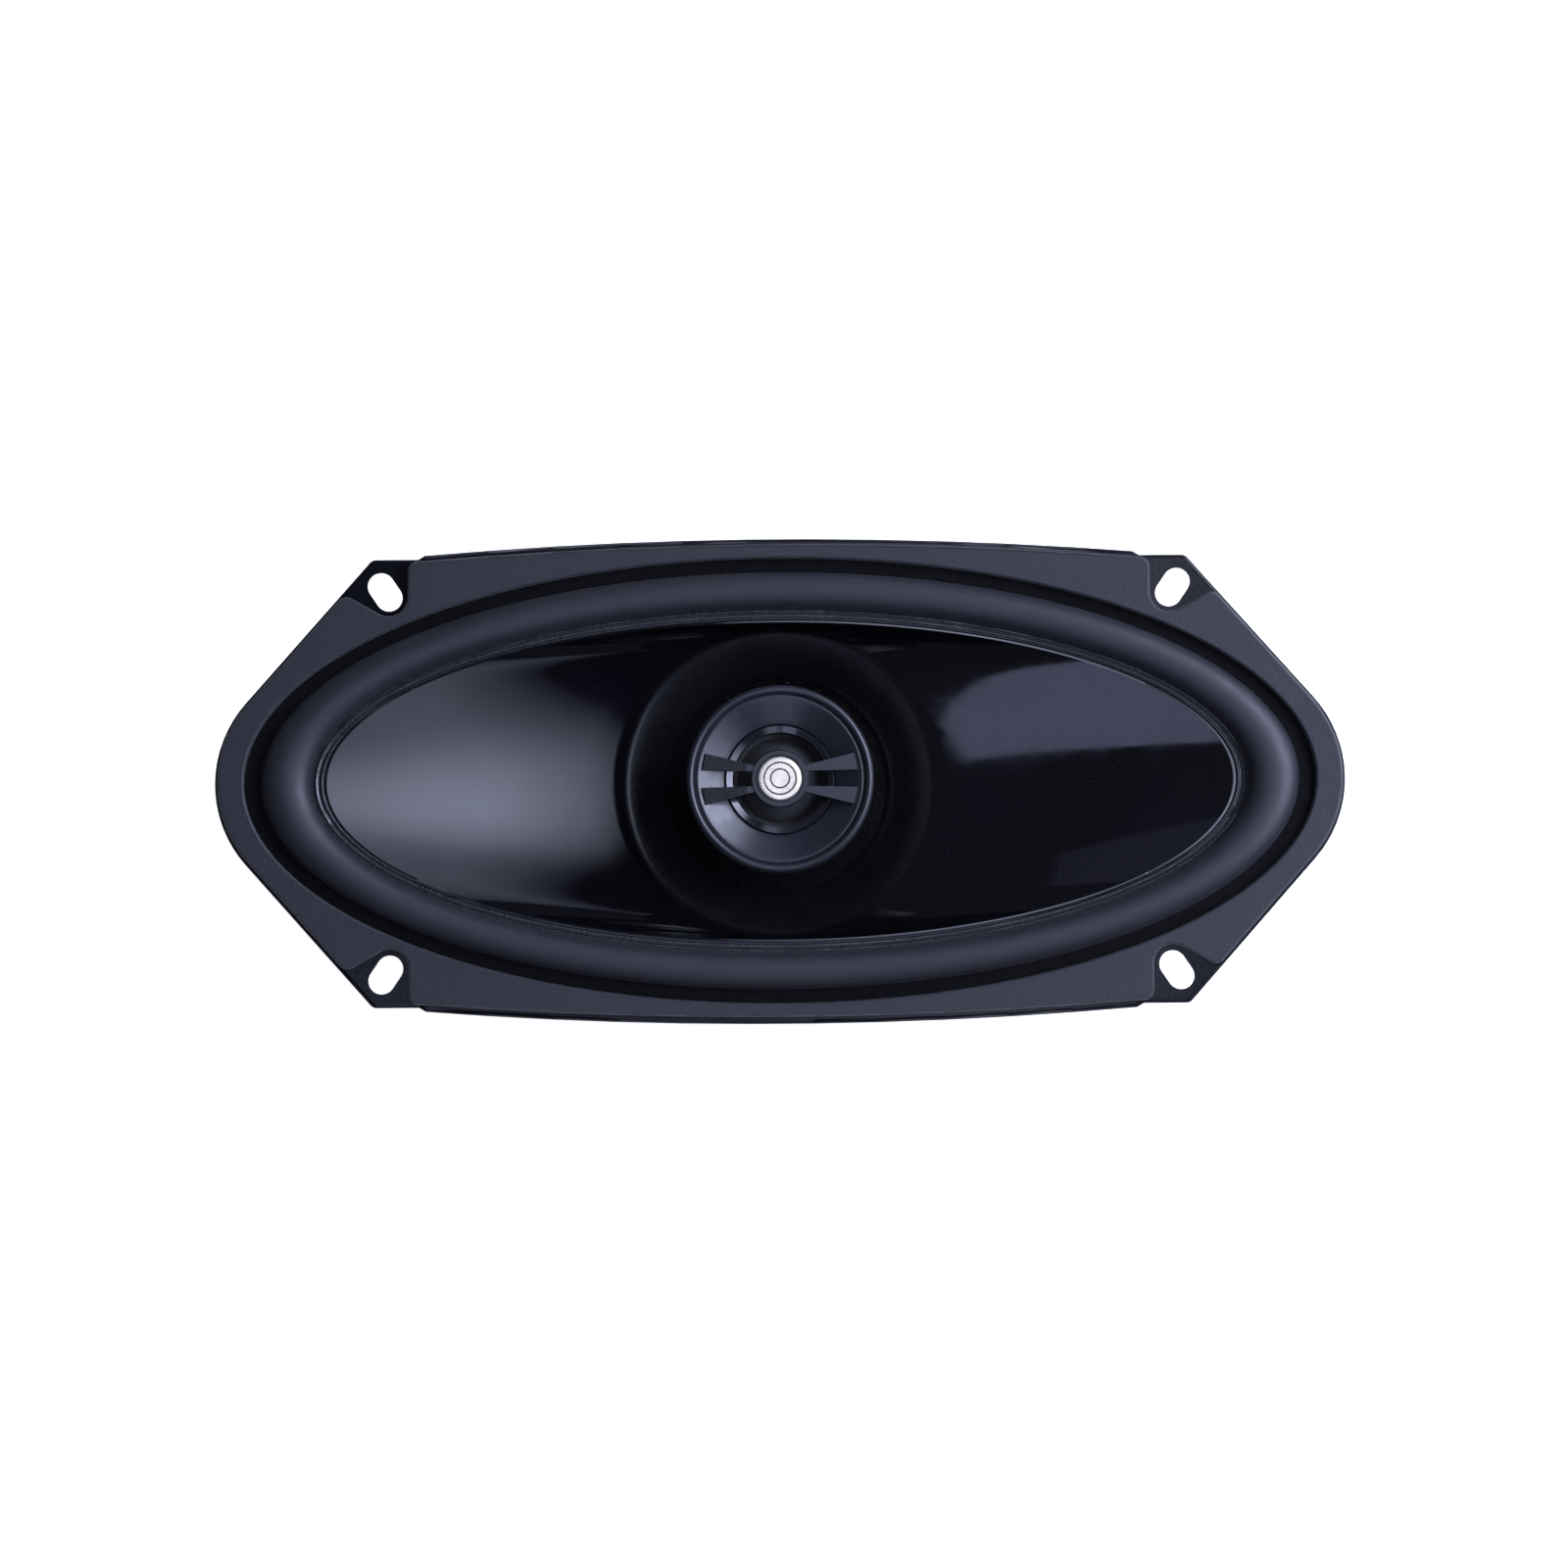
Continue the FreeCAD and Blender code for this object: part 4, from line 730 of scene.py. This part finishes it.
def make_surround():
    """Half-roll rubber surround: land on the flange, roll, and beaded lip on the cone's rim."""
    land_top = LAND_Z + RUBBER
    edge = (SURROUND_EDGE.x, SURROUND_EDGE.y)
    worn = 0.15 * MM
    upper = [(*edge, LAND_Z), (*edge, land_top - worn), (edge[0] - worn, edge[1] - worn, land_top)]
    foot = roll_station(0, False)
    upper += between(upper[-1], foot, 6)[1:]
    upper += [roll_station(math.pi * step / ROLL_STEPS, False) for step in range(ROLL_STEPS + 1)]
    lip = lip_stations()[1:]
    lip_edge = (lip[-1][0], lip[-1][1], CONE_RIM.z)
    inner_foot = roll_station(math.pi, True)
    under = [lip_edge, tuple(CONE_RIM), (inner_foot[0], inner_foot[1], LAND_Z - 0.1 * MM)]
    under += [roll_station(math.pi - math.pi * step / ROLL_STEPS, True) for step in range(ROLL_STEPS + 1)]
    section = upper + lip + under
    ring = ring_piece("surround_roll", section, ELLIPSE_SEGMENTS, MATERIALS["surround_rubber"], 50)
    outer, inner = roll_station(0, False), roll_station(math.pi, False)
    show_land_shade_and_lip_glue(ring, outer, inner)

    def share(x, y, z):
        """0 at the roll's outer foot, 1 at its inner foot, eased between the two ellipses."""
        turn = np.arctan2(y / CROWN[1], x / CROWN[0])
        reach = np.hypot(x, y)
        outer_reach = np.hypot(outer[0] * np.cos(turn), outer[1] * np.sin(turn))
        inner_reach = np.hypot(inner[0] * np.cos(turn), inner[1] * np.sin(turn))
        travel = np.clip((outer_reach - reach) / (outer_reach - inner_reach), 0, 1)
        return travel * travel * (3 - 2 * travel)

    set_weights(ring, share)
    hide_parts("woofer_surround")


def make_spider():
    """Corrugated cloth disc, flat where it is glued to the shelf and to the former."""
    wave_start = 14.2 * MM
    wave_end = 31.6 * MM
    waves = 5
    half_thick = 0.25 * MM
    amplitude = high("spider").z - SPIDER_Z - 2 * half_thick
    shelf_z = low("spider").z + (high("spider").z - low("spider").z - 2 * half_thick) / 2

    def height(radius):
        share = min(max((radius - wave_start) / (wave_end - wave_start), 0), 1)
        return shelf_z + half_thick + amplitude * math.sin(2 * math.pi * waves * share)

    radii = np.linspace(FORMER_RADIUS, SPIDER_RADIUS, 150)
    upper = [(radius, radius, height(radius) + half_thick * 0.8) for radius in radii]
    lower = [(radius, radius, height(radius) - half_thick * 0.8) for radius in reversed(radii)]
    disc = ring_piece("spider_cloth_disc", upper + lower, 160, MATERIALS["spider_cloth"], 60)

    def share(x, y, z):
        reach = np.hypot(x, y)
        return (wave_end - reach) / (wave_end - wave_start)

    set_weights(disc, share)
    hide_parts("spider")


def make_tinsel():
    """Two twisted tinsel leads from the collar to the tags, with room for the cone's travel."""
    tag_x = high("positive_terminal").x
    radius = 0.5 * MM
    for side, sign in (("positive", 1), ("negative", -1)):
        route = [
            (13.9 * MM, sign * 3.6 * MM, -26.4 * MM),
            (22.0 * MM, sign * 5.0 * MM, -25.2 * MM),
            (34.0 * MM, sign * 7.6 * MM, -22.6 * MM),
            (46.0 * MM, sign * 9.4 * MM, -21.4 * MM),
            (56.5 * MM, sign * 9.6 * MM, -21.6 * MM),
            (60.0 * MM, sign * 9.0 * MM, -25.8 * MM),
            (tag_x + radius, sign * 7.0 * MM, -29.6 * MM),
        ]
        rope = rope_piece("tinsel_rope_" + side, route, radius, 3, 2.2 * MM, MATERIALS["tinsel_braid"])
        collar_x, loop_x = 16 * MM, 57 * MM
        set_weights(rope,
                    lambda x, y, z: np.where(z < -26.4 * MM, 0, 1) * (loop_x - x) / (loop_x - collar_x))
        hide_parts("tinsel_lead_" + side)


# ---- tweeter pieces ----

def make_badge():
    """Plain spun disc of concentric rings in the middle of the phase plug."""
    rim = BADGE_RADIUS
    top = BADGE_TOP_Z
    face_z = top - 0.02 * MM
    groove_z = top - 0.16 * MM
    profile = [
        (0, BADGE_LOW_Z),
        (rim, BADGE_LOW_Z),
        (rim, top - 0.35 * MM),
        (rim - 0.12 * MM, top - 0.12 * MM),
        (rim - 0.35 * MM, face_z),
    ]
    for edge in (rim - 1.05 * MM, rim - 2.55 * MM):
        profile += [(edge, face_z), (edge - 0.08 * MM, groove_z)]
        profile += [(edge - 0.36 * MM, groove_z), (edge - 0.44 * MM, face_z)]
    profile += [(0.9 * MM, top - 0.04 * MM), (0, top - 0.07 * MM)]
    disc = solid_of_revolution("badge_disc", profile, 128, MATERIALS["badge_metal"], 30)
    disc.data.materials.append(soft_plastic("badge_grooves", (0.008, 0.008, 0.010), 0.4))
    for face in disc.data.polygons:
        face.material_index = int(face.center.z < top - 0.14 * MM and face.center.xy.length < rim - MM)
    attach(disc, "speaker_frame")
    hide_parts("centre_badge")


def make_throat_ring():
    """Polished ring at the throat, with a shallow chamfer that catches the light."""
    low_z = low("throat_ring").z
    top_z = high("throat_ring").z
    outer = high("throat_ring").x
    bore = 10.7 * MM
    shoulder = 11.8 * MM
    step_z = 2.9 * MM
    profile = [
        (shoulder, low_z),
        (outer, low_z),
        (outer, top_z - 0.35 * MM),
        (outer - 0.1 * MM, top_z - 0.08 * MM),
        (outer - 0.2 * MM, top_z),
        (bore + 0.1 * MM, top_z - 0.56 * MM),
        (bore, top_z - 0.8 * MM),
        (bore, step_z),
        (shoulder, step_z),
    ]
    section = [(radius, radius, z) for radius, z in reversed(profile)]
    ring = ring_piece("throat_ring_polished", section, 96, MATERIALS["pod_gloss"], 25)
    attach(ring, "speaker_frame")
    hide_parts("throat_ring")


def make_dome():
    """Coated silk dome."""
    rise = DOME_TOP_Z - DOME_BASE_Z
    sphere = (DOME_RADIUS**2 + rise**2) / (2 * rise)
    steps = 20
    limit = math.asin(DOME_RADIUS / sphere)
    outer = [(sphere * math.sin(limit * step / steps),
              DOME_TOP_Z - sphere * (1 - math.cos(limit * step / steps))) for step in range(steps + 1)]
    thick = 0.2 * MM
    shrink = 1 - thick / DOME_RADIUS
    inner = [(radius * shrink, max(z - thick, DOME_BASE_Z)) for radius, z in reversed(outer)]
    cap = solid_of_revolution("silk_dome", outer + inner, 96, MATERIALS["silk"], 40)
    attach(cap, "tweeter_diaphragm")
    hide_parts("tweeter_dome")


def make_dome_surround():
    """Silk half roll between the dome and its ring."""
    edge = high("tweeter_surround").x
    base = low("tweeter_surround").z
    thick = 0.2 * MM
    roll_inner = DOME_RADIUS + 0.1 * MM
    roll_outer = DOME_RADIUS + 1.3 * MM
    crest = high("tweeter_surround").z - base - thick
    upper = [(DOME_RADIUS, base + thick)]
    lower = [(DOME_RADIUS, base)]
    for step in range(13):
        turn = math.pi * step / 12
        radius = (roll_inner + roll_outer) / 2 - (roll_outer - roll_inner) / 2 * math.cos(turn)
        upper.append((radius, base + thick + crest * math.sin(turn)))
        lower.append((radius, base + crest * math.sin(turn)))
    upper.append((edge, base + thick))
    lower.append((edge, base))
    section = [(radius, radius, z) for radius, z in upper + lower[::-1]]
    ring = ring_piece("silk_surround", section, 96, MATERIALS["silk"], 50)
    set_weights(ring,
                lambda x, y, z: (roll_outer - np.hypot(x, y)) / (roll_outer - roll_inner))
    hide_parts("tweeter_surround")


# ---- capacitor ----

def make_capacitor():
    """Film capacitor in a shrunk sleeve: rolled sleeve ends round the recessed resin."""
    lowest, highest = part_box("crossover_capacitor")
    radius = (highest.z - lowest.z) / 2
    length = highest.y - lowest.y
    lip = 0.7 * MM
    bead = []
    for step in range(7):
        turn = math.pi / 2 * step / 6
        bead.append((radius - lip + lip * math.sin(turn), lip - lip * math.cos(turn)))
    resin = [(0, 0.35 * MM), (radius - lip - 0.4 * MM, 0.35 * MM)]
    start = resin + [(radius - lip - 0.1 * MM, 0.05 * MM)] + bead
    waist = [(radius - 0.05 * MM, 1.6 * MM), (radius - 0.3 * MM, 2.1 * MM), (radius - 0.05 * MM, 2.6 * MM)]
    middle = [(radius, length / 2)]
    finish_end = [(reach, length - along) for reach, along in reversed(start)]
    can = solid_of_revolution("capacitor_can", start + waist + middle + finish_end, 64,
                              MATERIALS["capacitor_sleeve"], 50)
    centre = (lowest + highest) / 2
    lie_down = Matrix.Rotation(-math.pi / 2, 4, "X")
    can.data.transform(Matrix.Translation((centre.x, lowest.y, centre.z)) @ lie_down)
    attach(can, "speaker_frame")
    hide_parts("crossover_capacitor")


# ---- carried-over CAD nodes ----

SOFTENED = {
    "yoke": 0.5, "top_plate": 0.3, "ferrite_magnet": 0.5, "post_nut": 0.3, "terminal_board": 0.15,
    "positive_terminal": 0.12, "negative_terminal": 0.12, "terminal_rivets": 0.25, "plate_rivets": 0.2,
    "tweeter_terminal_plate": 0.12, "tweeter_solder_tags": 0.08, "tweeter_bezel": 0.45,
}


def soften(node, width):
    """Round a machined node's edges with a small bevel."""
    piece = NODES[node]
    mesh = piece.data
    if "custom_normal" in mesh.attributes:
        mesh.attributes.remove(mesh.attributes["custom_normal"])
    weld = piece.modifiers.new("weld", "WELD")
    weld.merge_threshold = 1e-6
    bevel = piece.modifiers.new("edge", "BEVEL")
    bevel.width = width * MM
    bevel.segments = 2
    bevel.limit_method = "ANGLE"
    bevel.angle_limit = math.radians(40)
    bevel.use_clamp_overlap = True
    piece.modifiers.new("weighted", "WEIGHTED_NORMAL")


def finish_nodes():
    """Give every CAD node that still shows the material of its slot."""
    special = {"phase_bridge": bridge_plastic()}
    for node, piece in NODES.items():
        if piece.hide_render:
            continue
        slot = slot_of(node)
        piece.data.materials.clear()
        piece.data.materials.append(special.get(node) or MATERIALS[slot])
        if node in SOFTENED:
            soften(node, SOFTENED[node])


# ---- studio ----

TARGET = Vector((0.9 * MM, -0.8 * MM, 2 * MM))
CAMERA_DISTANCE = 1.2
CAMERA_LENS = 120.8
CAMERA_LEAN = math.radians(4.0)
CAMERA_ROLL = math.radians(0.39)
FLOOR_GLOW = 0.45
CARD_Z = 0.8
CARD_BLUE = (0.68, 0.74, 1.0)
CUT_BLUE = (0.58, 0.63, 1.0)
SIDE_NEAR = 0.50
# Corners of the two cut cards, in metres. They aren't sizes of a plain studio light: a separate program
# that traced mirror rays off the cone gave three of the first card's corners as they stand, and the rest
# were moved or stretched by hand, so that the cone's right wing mirrors a chosen shape.
CUT_OUTLINE = [
    (-0.144, 0.033),
    (-0.045, -0.071),
    (-0.030, -1.3),
    (-0.275, -1.3),
    (-0.213, -0.378),
    (-0.171, -0.028),
]
LOW_OUTLINE = [(-0.137, 0.30), (-0.03, 0.18), (-0.03, 1.2), (-0.215, 0.74)]


def make_camera():
    """Camera over the cone, leaning a little towards the near side."""
    lens = bpy.data.cameras.new("camera")
    lens.lens = CAMERA_LENS
    lens.sensor_width = 36
    lens.clip_start = 0.05
    camera = bpy.data.objects.new("camera", lens)
    bpy.context.scene.collection.objects.link(camera)
    back = Vector((0, -math.sin(CAMERA_LEAN), math.cos(CAMERA_LEAN)))
    camera.location = TARGET + back * CAMERA_DISTANCE
    turn = (-back).to_track_quat("-Z", "Y").to_matrix().to_4x4()
    roll = Matrix.Rotation(-CAMERA_ROLL, 4, "Z")
    camera.matrix_world = Matrix.Translation(camera.location) @ turn @ roll
    bpy.context.scene.camera = camera


def make_floor():
    """Plain pale floor under the magnet, which glows twice as strongly to the camera as to the object."""
    reach = 6.0
    z = FLOOR_Z - 0.2 * MM
    corners = [(-reach, -reach, z), (reach, -reach, z), (reach, reach, z), (-reach, reach, z)]
    mesh = bpy.data.meshes.new("floor")
    mesh.from_pydata(corners, [], [(0, 1, 2, 3)])
    floor = add_object("floor", mesh)
    paper = Finish("floor_paper", 0.9)
    tone = paper.mix(paper.noise(0.3, 3), (0.80, 0.80, 0.80), (0.82, 0.82, 0.82))
    paper.colour(tone)
    paper.shader.inputs["Emission Color"].default_value = (1, 1, 1, 1)
    path = paper.node("ShaderNodeLightPath")
    extra = paper.math("MULTIPLY", path.outputs["Is Camera Ray"], FLOOR_GLOW)
    glow = paper.math("ADD", extra, FLOOR_GLOW)
    paper.link(glow, paper.shader.inputs["Emission Strength"])
    mesh.materials.append(paper.material)


def card(name, outline, colour, strength, falloff=None):
    """A glowing studio card over the object; falloff may return a socket that scales its glow."""
    mesh = bpy.data.meshes.new(name)
    mesh.from_pydata([(x, y, CARD_Z) for x, y in outline], [], [tuple(range(len(outline)))])
    piece = add_object(name, mesh)
    glow = Finish(name, 0.5)
    emission = glow.node("ShaderNodeEmission")
    emission.inputs["Color"].default_value = (*colour, 1)
    scaled = glow.math("MULTIPLY", falloff(glow), strength) if falloff else strength
    glow.link(scaled, emission.inputs["Strength"])
    output = glow.tree.nodes["Material Output"]
    glow.link(emission.outputs[0], output.inputs["Surface"])
    mesh.materials.append(glow.material)
    piece.visible_camera = False


def strip_falloff(glow):
    """The strip's glow: a hot middle on a dim length, softly edged along its bowed sides."""
    x, y, _ = glow.axes()
    middle = glow.math("MULTIPLY", glow.bell(y, 0.11, 0.135), 0.66)
    length = glow.math("MULTIPLY", glow.bell(y, 0.0, 1.3), 0.36)
    along = glow.math("ADD", length, middle)
    bow = glow.math("MULTIPLY", glow.math("MULTIPLY", y, y), -0.16)
    rise = glow.ramp(x, -0.04, 0.075, 0.2, 1)
    fall = glow.ramp(glow.math("ADD", x, bow), 0.10, 0.178, 1, 0.0)
    return glow.math("MULTIPLY", glow.math("MULTIPLY", rise, fall), along)


def side_falloff(glow):
    """The side card's glow, brightest about its middle and dim along its near edge."""
    x, y, _ = glow.axes()
    return glow.math("MULTIPLY", glow.ramp(x, SIDE_NEAR, 0.74, 0.15, 1), glow.bell(y, 0.5, 0.8))


def rectangle(near, far, first, last):
    """Corners of a card that runs from near to far in X and from first to last in Y."""
    return [(near, first), (far, first), (far, last), (near, last)]


def make_lights():
    """A soft strip overhead, a side card at the right, and two cut cards at the left."""
    card("strip_card", rectangle(-0.02, SIDE_NEAR, -1.5, 1.5), CARD_BLUE, 6.1, strip_falloff)
    card("side_card", rectangle(SIDE_NEAR, 1.6, -1.2, 1.7), CARD_BLUE, 15.0, side_falloff)
    card("cut_card", CUT_OUTLINE, CUT_BLUE, 2.25)
    card("low_card", LOW_OUTLINE, CUT_BLUE, 0.32)


def make_world():
    """White round the object for the camera, and a dim even room for everything else."""
    world = bpy.data.worlds.new("studio")
    world.use_nodes = True
    bpy.context.scene.world = world
    tree = world.node_tree
    tree.nodes.clear()
    output = tree.nodes.new("ShaderNodeOutputWorld")
    blend = tree.nodes.new("ShaderNodeMixShader")
    path = tree.nodes.new("ShaderNodeLightPath")
    room = tree.nodes.new("ShaderNodeBackground")
    room.inputs["Color"].default_value = (0.6, 0.66, 0.85, 1)
    room.inputs["Strength"].default_value = 0.10
    backdrop = tree.nodes.new("ShaderNodeBackground")
    backdrop.inputs["Color"].default_value = (1, 1, 1, 1)
    tree.links.new(path.outputs["Is Camera Ray"], blend.inputs["Fac"])
    tree.links.new(room.outputs[0], blend.inputs[1])
    tree.links.new(backdrop.outputs[0], blend.inputs[2])
    tree.links.new(blend.outputs[0], output.inputs["Surface"])


# ---- assembly ----

make_cone()
make_surround()
make_spider()
make_tinsel()
make_badge()
make_throat_ring()
make_dome()
make_dome_surround()
make_capacitor()
finish_nodes()
make_camera()
make_floor()
make_lights()
make_world()
scene = bpy.context.scene
scene.view_settings.view_transform = "Standard"
